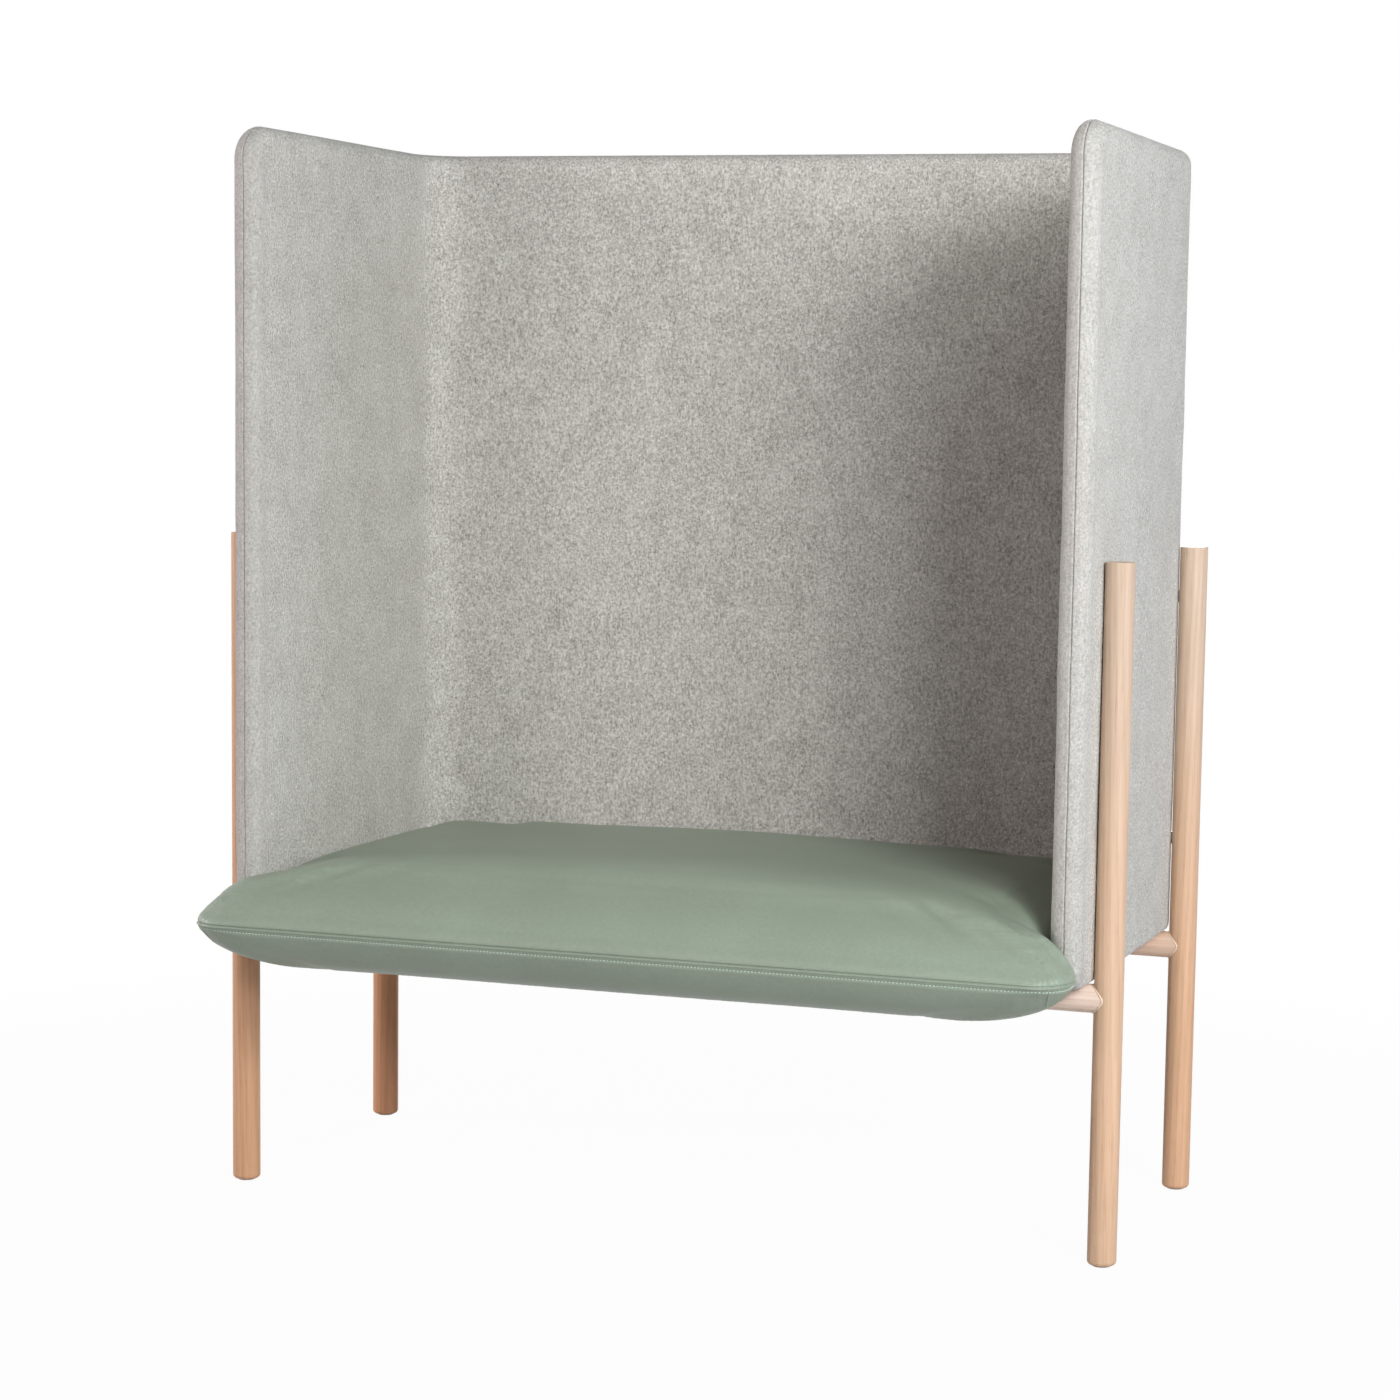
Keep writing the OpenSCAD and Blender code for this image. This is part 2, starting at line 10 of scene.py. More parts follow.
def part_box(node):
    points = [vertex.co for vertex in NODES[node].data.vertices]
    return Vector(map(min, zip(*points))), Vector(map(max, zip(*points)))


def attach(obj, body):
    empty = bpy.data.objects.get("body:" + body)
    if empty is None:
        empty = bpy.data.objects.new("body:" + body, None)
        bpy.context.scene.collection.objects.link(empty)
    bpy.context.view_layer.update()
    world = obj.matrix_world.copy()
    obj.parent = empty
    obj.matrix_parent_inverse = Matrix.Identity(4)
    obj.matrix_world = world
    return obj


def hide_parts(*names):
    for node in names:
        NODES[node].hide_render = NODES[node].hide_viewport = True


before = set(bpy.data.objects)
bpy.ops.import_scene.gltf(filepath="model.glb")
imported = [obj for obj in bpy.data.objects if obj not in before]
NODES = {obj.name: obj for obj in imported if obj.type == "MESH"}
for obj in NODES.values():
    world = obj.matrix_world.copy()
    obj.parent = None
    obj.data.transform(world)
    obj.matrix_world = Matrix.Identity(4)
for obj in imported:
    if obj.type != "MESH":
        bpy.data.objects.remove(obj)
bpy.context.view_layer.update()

MM = 0.001


def node_box(name):
    low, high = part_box(name)
    return np.array(low), np.array(high)


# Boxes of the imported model's pieces, and sizes read from them, in metres
COVER_LOW, COVER_HIGH = node_box("felt_cover_outer")
LINER_HIGH = node_box("felt_cover_inner")[1]
POST_LOW = node_box("corner_post_right")[0]
SEAT_TOP_LOW, SEAT_TOP_HIGH = node_box("seat_cover_top")
DUST_LOW, DUST_HIGH = node_box("dust_cover")
LEG_LOW, LEG_HIGH = node_box("leg_front_right")
BAR_LOW, BAR_HIGH = node_box("crossbar_front")

LEG_X, FRONT_Y = (LEG_LOW + LEG_HIGH)[:2] / 2
REAR_Y = sum(node_box("leg_rear_right"))[1] / 2
MIDDLE_Y = (FRONT_Y + REAR_Y) / 2
LEG_R = (LEG_HIGH[0] - LEG_LOW[0]) / 2
BAR_Z = (BAR_LOW[2] + BAR_HIGH[2]) / 2
BAR_R = (BAR_HIGH[2] - BAR_LOW[2]) / 2


def smooth(t):
    t = np.clip(t, 0.0, 1.0)
    return t * t * (3 - 2 * t)


def hump(d, middle, width):
    """Bell of height 1 round the given distance."""
    return np.exp(-(((d - middle) / width) ** 2))


def bells(d, shapes):
    """Sum of bells at distance d, each given by its height, the place of its middle and its width."""
    return sum(height * hump(d, middle, width) for height, middle, width in shapes)


def unit(vectors):
    return vectors / np.linalg.norm(vectors, axis=1, keepdims=True)


def lengths_along(line):
    """Length along an open line at each of its points."""
    return np.concatenate([[0], np.cumsum(np.linalg.norm(np.diff(line, axis=0), axis=1))])


def at_places(places, lengths, values):
    """Rows of values, which stand at the given lengths, at other places."""
    return np.column_stack([np.interp(places, lengths, column) for column in values.T])


def ripple(points, scale, seed):
    """Smooth noise of about -1 to 1 at each point, with waves of about the given length."""
    shift = Vector((seed, 2.3 * seed, 0.7 * seed))
    flat = points.reshape(-1, 3)
    values = [noise.noise(Vector(p) / scale + shift) for p in flat]
    return np.array(values).reshape(points.shape[:-1])


def wander(along, scale, seed):
    """The same along a line."""
    return np.array([noise.noise(Vector((a / scale, seed, 0.4 * seed))) for a in along])


def direction(bearing, height):
    """Unit vector to a place at a bearing from the front and a height, both in degrees."""
    turn, rise = math.radians(bearing), math.radians(height)
    return Vector((math.sin(turn) * math.cos(rise), -math.cos(turn) * math.cos(rise), math.sin(rise)))


def link(name, data):
    obj = bpy.data.objects.new(name, data)
    bpy.context.scene.collection.objects.link(obj)
    return obj


def mesh_of(name, points, faces):
    mesh = bpy.data.meshes.new(name)
    mesh.from_pydata(np.asarray(points).reshape(-1, 3).tolist(), [], faces)
    mesh.update()
    mesh.polygons.foreach_set("use_smooth", [True] * len(mesh.polygons))
    return mesh


def vertex_rows(collection, attribute):
    """An attribute of three numbers, for each vertex."""
    values = np.empty(3 * len(collection))
    collection.foreach_get(attribute, values)
    return values.reshape(-1, 3)


def piece(name, points, faces, material, slot, *nodes):
    """New piece with its material and body, which hides the CAD nodes that it stands for; the slot is not
    used.
    """
    obj = link(name, mesh_of(name, points, faces))
    obj.data.materials.append(material)
    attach(obj, "root")
    if nodes:
        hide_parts(*nodes)
    return obj


# Camera, fitted to the legs, screen and seat of the photograph
CAMERA_TURN, CAMERA_RISE, CAMERA_ROLL = 18.4725, 6.5718, 0.9479
CAMERA_EYE = Vector((1.4772, -4.0845, 1.0682)) + Vector((0, MIDDLE_Y, 0))
CLIP_NEAR, CLIP_FAR = 0.1, 60.0
PHOTO = 1400
PHOTO_FOCAL, PHOTO_CX, PHOTO_CY = 3335.26, 800.14, 760.08
SENSOR = 36.0


def make_camera():
    turn, roll = math.radians(CAMERA_TURN), math.radians(CAMERA_ROLL)
    back = direction(CAMERA_TURN, CAMERA_RISE)
    right = Vector((math.cos(turn), math.sin(turn), 0))
    up = back.cross(right)
    right_rolled = math.cos(roll) * right + math.sin(roll) * up
    up_rolled = -math.sin(roll) * right + math.cos(roll) * up
    data = bpy.data.cameras.new("camera")
    data.sensor_width = SENSOR
    data.lens = PHOTO_FOCAL * SENSOR / PHOTO
    data.shift_x = -(PHOTO_CX - PHOTO / 2) / PHOTO
    data.shift_y = (PHOTO_CY - PHOTO / 2) / PHOTO
    data.clip_start, data.clip_end = CLIP_NEAR, CLIP_FAR
    camera = link("camera", data)
    axes = Matrix((right_rolled, up_rolled, back)).transposed().to_4x4()
    camera.matrix_world = Matrix.Translation(CAMERA_EYE) @ axes
    bpy.context.scene.camera = camera


make_camera()


class Tree:
    """Shader nodes of one new material or world."""

    def __init__(self, name, owners=bpy.data.materials, kind="Material"):
        self.owner = owners.new(name)
        self.owner.use_nodes = True
        self.nodes = self.owner.node_tree.nodes
        self.links = self.owner.node_tree.links
        self.nodes.clear()
        self.out = self.add("Output" + kind)

    @cached_property
    def place(self):
        return self.add("TexCoord").outputs["Object"]

    def add(self, kind, **values):
        """A new node. A name in small letters sets a property of it, and any other name an input."""
        node = self.nodes.new("ShaderNode" + kind)
        for key, value in values.items():
            if key.islower():
                setattr(node, key, value)
            else:
                self.put(node, key.replace("_", " "), value)
        return node

    def put(self, node, key, value):
        """Links a socket to an input of a node, or sets the input to a value."""
        socket = node.inputs[key]
        if isinstance(value, bpy.types.NodeSocket):
            self.links.new(value, socket)
        else:
            socket.default_value = (*value, 1) if socket.type == "RGBA" else value

    def math(self, operation, *values, kind="Math"):
        node = self.add(kind, operation=operation)
        for index, value in enumerate(values):
            self.put(node, index, value)
        return node.outputs[1 if operation == "LENGTH" else 0]

    def vector_math(self, operation, *values):
        return self.math(operation, *values, kind="VectorMath")

    def inverse(self, value):
        return self.math("SUBTRACT", 1.0, value)

    def linear(self, start, value, gain):
        """The start plus the value times the gain."""
        return self.math("ADD", start, self.math("MULTIPLY", value, gain))

    def total(self, *parts):
        """Sum of values times their weights."""
        total = None
        for value, weight in parts:
            part = self.math("MULTIPLY", value, weight)
            total = part if total is None else self.math("ADD", total, part)
        return total

    def noise(self, scale, place=None, detail=2.0, rough=0.5, distortion=0.0):
        """Noise with about the given number of waves in a metre."""
        return self.add("TexNoise", Vector=place or self.place, Scale=scale, Detail=detail, Roughness=rough,
                        Distortion=distortion).outputs["Fac"]

    def stretched(self, *waves, detail=2.0, rough=0.6, distortion=0.0):
        """Noise with its own number of waves in a metre along X, Y and Z."""
        return self.noise(1.0, self.vector_math("MULTIPLY", self.place, waves), detail, rough, distortion)

    def ramp(self, value, stops):
        node = self.add("ValToRGB", Fac=value)
        elements = node.color_ramp.elements
        while len(elements) < len(stops):
            elements.new(0.5)
        for element, (position, color) in zip(elements, stops):
            element.position = position
            element.color = (*color, 1)
        return node.outputs["Color"]

    def mask(self, value, low, high):
        """0 below low, 1 above high."""
        return self.add("MapRange", interpolation_type="SMOOTHSTEP", Value=value, From_Min=low,
                        From_Max=high).outputs["Result"]

    def mix(self, share, a, b, blend="MIX"):
        node = self.add("Mix", data_type="RGBA", blend_type=blend, Factor=share)
        self.put(node, 6, a)
        self.put(node, 7, b)
        return node.outputs[2]

    def over(self, color, mask, share, other, blend="MIX"):
        """The colour with another laid over it where the mask is 1, at the given share."""
        return self.mix(self.math("MULTIPLY", mask, share), color, other, blend)

    def bump(self, height, distance, strength):
        return self.add("Bump", Height=height, Distance=distance, Strength=strength).outputs["Normal"]

    def finish(self, color, roughness, normal, **values):
        shader = self.add("BsdfPrincipled", Base_Color=color, Roughness=roughness, Normal=normal, **values)
        self.put(self.out, "Surface", shader.outputs[0])
        return self.owner

    def shown_to_eye(self, hidden, shown, share=1.0):
        """Shows the second shader to the eye and to glossy rays, and lights with the first."""
        rays = self.add("LightPath").outputs
        seen = rays["Is Camera Ray"]
        for other in ("Is Glossy Ray", "Is Transmission Ray"):
            seen = self.math("MAXIMUM", seen, rays[other])
        mix = self.add("MixShader", Fac=self.math("MULTIPLY", seen, share))
        self.put(mix, 1, hidden.outputs[0])
        self.put(mix, 2, shown.outputs[0])
        self.put(self.out, "Surface", mix.outputs[0])


def srgb(r, g, b):
    """Linear colour of an sRGB one given from 0 to 255."""
    return tuple(c / 12.92 if c <= 0.04045 else ((c + 0.055) / 1.055) ** 2.4
                 for c in (v / 255 for v in (r, g, b)))


# Tones of the felt's mottling, of its pinker wool, flecks and hairs, and the painted shade that greys the lit
# front edges
FELT_TONES = [(0.34, srgb(116, 112, 107)), (0.46, srgb(176, 173, 167)),
              (0.54, srgb(205, 203, 197)), (0.66, srgb(236, 235, 231))]
FELT_WARM = (1.0, 0.93, 0.87)
FELT_FLECK, FELT_HAIR, FELT_EDGE_SHADE = srgb(98, 93, 90), srgb(240, 239, 236), srgb(172, 170, 165)
# Depths between which the painted shade on the screen's front edges passes into its faces
FELT_EDGE_SHADE_FROM, FELT_EDGE_SHADE_TO = 12 * MM, 32 * MM


def felt_material(front):
    t = Tree("wool_felt")
    coarse = t.noise(330.0, rough=0.6)
    fine = t.noise(760.0, rough=0.6)
    streaks = t.stretched(460, 460, 120, rough=0.55)
    patches = t.noise(24.0)
    tone = t.total((coarse, 0.40), (fine, 0.30), (streaks, 0.22), (patches, 0.08))
    color = t.ramp(tone, FELT_TONES)
    warm = t.mask(t.noise(210.0), 0.44, 0.62)
    color = t.over(color, warm, 0.22, FELT_WARM, "MULTIPLY")
    flecks = t.mask(t.stretched(560, 560, 300, distortion=0.8), 0.62, 0.70)
    color = t.over(color, flecks, 0.42, FELT_FLECK)
    hairs = t.mask(t.stretched(900, 1300, 160, detail=1.0, rough=0.5, distortion=1.8), 0.66, 0.74)
    color = t.over(color, hairs, 0.35, FELT_HAIR)
    # Painted shade: the lit front edges get less mottling and a greyer tone, which tones down their
    # brightness
    depth = t.add("SeparateXYZ", Vector=t.place).outputs["Y"]
    edge = t.inverse(t.mask(depth, front + FELT_EDGE_SHADE_FROM, front + FELT_EDGE_SHADE_TO))
    color = t.over(color, edge, 0.5, FELT_EDGE_SHADE)
    fibres = t.stretched(1900, 1900, 900, detail=3.0, rough=0.7, distortion=0.8)
    height = t.total((fibres, 0.5), (coarse, 0.9), (t.noise(90.0), 0.8))
    return t.finish(color, 0.92, t.bump(height, 0.22 * MM, 0.5), Sheen_Weight=0.2, Sheen_Roughness=0.6,
                    Specular_IOR_Level=0.12)


LEATHER_TONES = [(0.36, srgb(135, 147, 130)), (0.5, srgb(139, 152, 135)), (0.64, srgb(144, 157, 140))]
LEATHER_VALLEY = srgb(104, 122, 106)


def leather_material():
    t = Tree("sage_leather")
    clouds = t.noise(7.0)
    fine = t.noise(190.0, detail=3.0, rough=0.6)
    color = t.ramp(t.total((clouds, 0.5), (fine, 0.5)), LEATHER_TONES)
    cells = t.add("TexVoronoi", feature="DISTANCE_TO_EDGE", Vector=t.place, Scale=720.0, Randomness=0.9)
    pebbles = t.mask(cells.outputs["Distance"], 0.0, 0.28)
    creases = t.stretched(240, 110, 240, distortion=1.2)
    height = t.total((pebbles, 0.45), (creases, 0.35), (t.noise(60.0), 0.5))
    color = t.over(color, t.inverse(pebbles), 0.12, LEATHER_VALLEY)
    return t.finish(color, t.linear(0.38, fine, 0.12), t.bump(height, 0.3 * MM, 0.6), Coat_Weight=0.10,
                    Coat_Roughness=0.35, Specular_IOR_Level=0.5)


# Spacing of the growth rings, their pith outside the piece, its steps from seed to seed and its lean
OAK_RING, BIRCH_RING = 7.5 * MM, 12 * MM
PITH, PITH_STEP = (47 * MM, 63 * MM), (11 * MM, -17 * MM)
PITH_LEAN = 0.022
RING_WAVER = 3.0
# Scale of the grain along the wood to that across it
ALONG_GRAIN = 0.03
GRAIN_SHIFT = (0.37, -0.21, 0.53)
GRAIN_SHADES = [(0.28, (1, 1, 1)), (0.50, (0.90, 0.88, 0.85)), (0.72, (0.76, 0.70, 0.63))]
PORE_SHADE = (0.46, 0.36, 0.26)
# Heights between which the tone of an upright piece's foot passes into that of its top
TONE_FOOT, TONE_TOP = 0.15, 0.85


def wood_material(name, along, seed, ring, top, foot):
    """Solid wood with its grain along an axis, between two tones."""
    t = Tree(name)
    axis = "XYZ".index(along)
    stretch = [ALONG_GRAIN if i == axis else 1.0 for i in range(3)]
    shifted = t.vector_math("ADD", t.place, [seed * share for share in GRAIN_SHIFT])
    grain = t.vector_math("MULTIPLY", shifted, stretch)
    split = t.add("SeparateXYZ", Vector=t.place)
    length = split.outputs[axis]
    across = [split.outputs[i] for i in range(3) if i != axis]
    lean = PITH_LEAN * (1 if seed % 2 else -1)
    first = t.math("ADD", across[0], t.linear(PITH[0] + PITH_STEP[0] * (seed % 3), length, lean))
    second = t.math("ADD", across[1], PITH[1] + PITH_STEP[1] * (seed % 2))
    radius = t.math("SQRT", t.linear(t.math("MULTIPLY", first, first), second, second))
    rings = t.math("FRACT", t.linear(t.math("DIVIDE", radius, ring), t.noise(16.0, grain), RING_WAVER))
    late = t.math("MULTIPLY", t.mask(rings, 0.1, 0.8), t.inverse(t.mask(rings, 0.86, 1.0)))
    streak = t.noise(360.0, grain, rough=0.6)
    fine = t.noise(900.0, grain, rough=0.6)
    broad = t.noise(75.0, grain)
    tone = t.total((late, 0.12), (streak, 0.42), (fine, 0.24), (broad, 0.20))
    shade = t.ramp(tone, GRAIN_SHADES)
    upper = t.mask(length, TONE_FOOT, TONE_TOP) if along == "Z" else t.mask(broad, 0.3, 0.7)
    color = t.mix(1.0, t.mix(upper, foot, top), shade, "MULTIPLY")
    dash = t.mask(t.noise(1250.0, grain, detail=1.0), 0.62, 0.72)
    pore = t.math("MULTIPLY", dash, t.mask(late, 0.0, 0.6))
    color = t.over(color, pore, 0.22, PORE_SHADE, "MULTIPLY")
    height = t.math("SUBTRACT", t.math("MULTIPLY", streak, 0.4), pore)
    return t.finish(color, t.linear(0.44, streak, 0.14), t.bump(height, 0.18 * MM, 0.5),
                    Specular_IOR_Level=0.35)


def cloth_material():
    t = Tree("black_dust_cloth")
    tone = t.math("MAXIMUM", t.stretched(900, 260, 900), t.stretched(260, 900, 900))
    color = t.ramp(tone, [(0.45, srgb(28, 28, 29)), (0.75, srgb(58, 58, 60))])
    return t.finish(color, 0.9, t.bump(tone, 0.3 * MM, 0.7), Sheen_Weight=0.1)


def metal_material(name, color):
    t = Tree(name)
    lines = t.stretched(600, 2400, 2400)
    tint = t.ramp(lines, [(0.35, tuple(0.86 * c for c in color)), (0.65, color)])
    return t.finish(tint, t.linear(0.28, lines, 0.18), t.bump(lines, 0.05 * MM, 0.5), Metallic=1.0)


def nylon_material(name, dark, light):
    t = Tree(name)
    specks = t.noise(900.0)
    color = t.ramp(specks, [(0.35, dark), (0.7, light)])
    return t.finish(color, t.linear(0.38, specks, 0.2), t.bump(specks, 0.1 * MM, 0.4))


def thread_material():
    t = Tree("stitch_thread")
    twist = t.noise(1800.0)
    color = t.ramp(twist, [(0.35, srgb(172, 196, 182)), (0.65, srgb(204, 222, 208))])
    return t.finish(color, 0.7, t.bump(twist, 0.1 * MM, 0.6), Sheen_Weight=0.2)


FELT = felt_material(COVER_LOW[1])
LEATHER = leather_material()
CLOTH = cloth_material()
THREAD = thread_material()
GLUE = nylon_material("glue_line", srgb(226, 204, 180), srgb(240, 222, 202))
STEEL = metal_material("zinc_plated_steel", srgb(196, 199, 203))
BRASS = metal_material("brass", srgb(206, 170, 98))
NYLON_BLACK = nylon_material("black_nylon", srgb(26, 26, 27), srgb(44, 44, 46))
NYLON_WHITE = nylon_material("white_nylon", srgb(216, 212, 202), srgb(232, 229, 221))

# Two tones of each piece: at its top and its foot, or in patches of a crossbar
OAK = {
    "leg_front_right": (srgb(206, 182, 162), srgb(222, 186, 156)),
    "leg_rear_right": (srgb(216, 192, 172), srgb(227, 182, 147)),
    "leg_front_left": (srgb(217, 176, 143), srgb(219, 172, 135)),
    "leg_rear_left": (srgb(219, 172, 136), srgb(219, 164, 124)),
    "crossbar_front": (srgb(252, 230, 218), srgb(246, 220, 204)),
    "crossbar_rear": (srgb(240, 208, 188), srgb(234, 198, 174)),
}
BIRCH = (srgb(226, 206, 172), srgb(214, 190, 152))


def dress_nodes(material, *names):
    for name in names:
        for slot in NODES[name].material_slots:
            slot.material = material


for seed, (name, tones) in enumerate(OAK.items(), start=1):
    axis_name = "X" if name.startswith("crossbar") else "Z"
    dress_nodes(wood_material(f"oak_{name}", axis_name, seed, OAK_RING, *tones), name)
dress_nodes(wood_material("birch_upright", "Z", 9, BIRCH_RING, *BIRCH),
            "side_board_left", "side_board_right", "corner_post_left", "corner_post_right")
dress_nodes(wood_material("birch_across", "X", 10, BIRCH_RING, *BIRCH),
            "back_board", "seat_board", "board_dowels")
dress_nodes(STEEL, "leg_bolts", "leg_spacers", "seat_bolts", "seat_nuts")
dress_nodes(BRASS, "leg_inserts")
dress_nodes(NYLON_BLACK, "bar_saddles")
dress_nodes(NYLON_WHITE, "foot_glides")


# Felt screen: a padded panel bent round the back
WALL_R = COVER_HIGH[0] - LINER_HIGH[0]
WALL_X = LINER_HIGH[0]
BEND_X, BEND_Y = POST_LOW[0], POST_LOW[1]
BEND_R = WALL_X - BEND_X
SCREEN_FRONT = COVER_LOW[1]
SCREEN_FOOT, SCREEN_TOP = COVER_LOW[2], COVER_HIGH[2]
TOP_CORNER_R, FOOT_CORNER_R = 46 * MM, 27 * MM
TURN_LEN = BEND_R * math.pi / 2
HALF_PATH = BEND_X + TURN_LEN + BEND_Y - SCREEN_FRONT
# Faces across and up the panel and round half a corner, and angles of the rings on its edge
PANEL_ACROSS, PANEL_UP, PANEL_CORNER = 216, 92, 16
RING_ANGLES = [0, 1.1, 2.2, 3.6, 5.4, 8, 12, 18, 26, 36, 47, 58, 69, 80, 90]
# The panel's flat middle begins this far inside its outline, less than a corner's radius
PANEL_INSET = 22 * MM
# The felt's seam in millimetres, as bells: a crease between two rims
FELT_SEAM = [(-2.0, 0, 0.6), (0.35, 2.2, 1.3)]
# Folds by a corner's tip: height, distance and width; their pitch and wander; their place on the edge
TOP_FOLDS, FOOT_FOLDS = (0.30 * MM, 20 * MM, 30 * MM), (1.1 * MM, 10 * MM, 22 * MM)
FOLD_PITCH, FOLD_TURN, FOLD_WAVE = 7.2 * MM, 2.2, 30 * MM
FOLD_ARC, FOLD_WIDTH = 5 * MM, 4.5 * MM
# Bulge of the front edge under its top corner: height, distance below the top, width and depth
BULGE, BULGE_BELOW, BULGE_WIDTH, BULGE_REACH = 1.4 * MM, 30 * MM, 18 * MM, 14 * MM
# The foot's edge is squarer than round: power of its outline, where that starts and how soon it is full
FOOT_POWER = 4.5
SQUARE_ABOVE, SQUARE_OVER = 45 * MM, 25 * MM
# Sway of the seam on the edge: reach, length of a wave, and the angle at which it fades
SWAY, SWAY_WAVE, SWAY_ANGLE = 0.7 * MM, 55 * MM, 24
# Waves of the padding: reach, length and seed, and how far they lie behind the solid's face
PADDING_WAVES = [(0.9 * MM, 170 * MM, 3.0), (0.5 * MM, 60 * MM, 5.0)]
PADDING_SINK = 0.7 * MM
# The padding is flat behind the legs, this far round and above them
LEG_REACH, LEG_ABOVE = 35 * MM, 30 * MM
# Fall of the screen's top to the back, and the height from which it starts and over which it grows
TOP_FALL, FALL_FROM, FALL_OVER = 4.0 * MM, 800 * MM, 570 * MM


def screen_path(s):
    """Middle line of the screen, s from the middle of the back, and its outward direction."""
    side, run = np.sign(s), np.abs(s)
    turn = np.clip((run - BEND_X) / BEND_R, 0, math.pi / 2)
    ahead = np.clip(run - BEND_X - TURN_LEN, 0, None)
    x = np.minimum(run, BEND_X) + BEND_R * np.sin(turn)
    y = BEND_Y + BEND_R * np.cos(turn) - ahead
    return side * x, y, side * np.sin(turn), np.cos(turn)


def panel_loop(inset):
    """Outline of the unrolled screen (path, height), from the middle of its lower left corner."""
    corners = [(-1, -1), (1, -1), (1, 1), (-1, 1)]
    centres, radii = [], []
    for right, up in corners:
        r = TOP_CORNER_R if up > 0 else FOOT_CORNER_R
        centres.append(np.array((right * (HALF_PATH - r), SCREEN_TOP - r if up > 0 else SCREEN_FOOT + r)))
        radii.append(r - inset)
    loop = []
    for i in range(4):
        for k in range(2 * PANEL_CORNER):
            a = math.radians(180 + 90 * i + 45 * k / PANEL_CORNER)
            loop.append(centres[i] + radii[i] * np.array((math.cos(a), math.sin(a))))
        a = math.radians(270 + 90 * i)
        away = np.array((math.cos(a), math.sin(a)))
        start, end = centres[i] + radii[i] * away, centres[(i + 1) % 4] + radii[(i + 1) % 4] * away
        count = PANEL_ACROSS if i % 2 == 0 else PANEL_UP
        loop += [start + (end - start) * k / count for k in range(count)]
    return np.roll(np.array(loop), -PANEL_CORNER, axis=0)


def coons(loop, across, up):
    """Fills a closed outline with a grid of (up + 1) by (across + 1) points."""
    bottom = loop[:across + 1]
    right = loop[across:across + up + 1]
    top = loop[across + up:2 * across + up + 1][::-1]
    left = np.vstack([loop[2 * across + up:], loop[:1]])[::-1]
    u = np.linspace(0, 1, across + 1)[None, :, None]
    v = np.linspace(0, 1, up + 1)[:, None, None]
    grid = (1 - v) * bottom[None] + v * top[None] + (1 - u) * left[:, None] + u * right[:, None]
    corner = ((1 - u) * (1 - v) * bottom[0] + u * (1 - v) * bottom[-1]
              + u * v * top[-1] + (1 - u) * v * top[0])
    return grid - corner


def grid_in_ring(start, across, up, next_id):
    """Point numbers of a grid whose edge is the ring that begins at start, and which of them are new."""
    ids = np.full((up + 1, across + 1), -1)
    walk = ([(0, i) for i in range(across)] + [(j, across) for j in range(up)]
            + [(up, across - i) for i in range(across)] + [(up - j, 0) for j in range(up)])
    for k, (j, i) in enumerate(walk):
        ids[j, i] = start + k
    new = ids < 0
    ids[new] = next_id + np.arange(new.sum())
    return ids, new


def grid_quads(ids):
    corners = (ids[:-1, :-1], ids[:-1, 1:], ids[1:, 1:], ids[1:, :-1])
    return np.column_stack([corner.ravel() for corner in corners])


def band_quads(starts, rim):
    """Faces between rings of rim points that begin at the given numbers."""
    here = np.arange(rim)
    after = (here + 1) % rim
    return np.vstack([np.column_stack([a + here, a + after, b + after, b + here])
                      for a, b in zip(starts, starts[1:])])


def along_loop(loop):
    """Length along a closed line at each of its points."""
    return lengths_along(np.vstack([loop, loop[:1]]))[:-1]


def edge_rings(outline, inner):
    """Rings of points (path, height, distance from the middle) from the screen's seam to its flat face."""
    along = along_loop(outline)
    toward = (inner - outline) / WALL_R
    s, z = np.abs(outline[:, 0]), outline[:, 1]
    folds = (bells(np.hypot(s - HALF_PATH, z - SCREEN_TOP), [TOP_FOLDS])
             + bells(np.hypot(s - HALF_PATH, z - SCREEN_FOOT), [FOOT_FOLDS]))
    folds *= np.cos(2 * math.pi * along / FOLD_PITCH + FOLD_TURN * wander(along, FOLD_WAVE, 4.0))
    bulge = BULGE * hump(z, SCREEN_TOP - BULGE_BELOW, BULGE_WIDTH) * (s > HALF_PATH - BULGE_REACH)
    square = smooth((SCREEN_FOOT + SQUARE_ABOVE - z) / SQUARE_OVER)
    rings = []
    for angle in RING_ANGLES:
        a = math.radians(angle)
        arc = WALL_R * a
        fuller = (math.cos(a) ** FOOT_POWER + math.sin(a) ** FOOT_POWER) ** (-1 / FOOT_POWER) - 1
        reach = WALL_R * (1 + square * fuller) + bells(arc / MM, FELT_SEAM) * MM
        reach = reach + folds * hump(arc, FOLD_ARC, FOLD_WIDTH)
        inset = WALL_R - (reach + bulge) * math.cos(a)
        side = reach * math.sin(a) if angle else np.zeros(len(outline))
        rings.append(np.column_stack([outline + toward * inset[:, None], side]))
    return rings


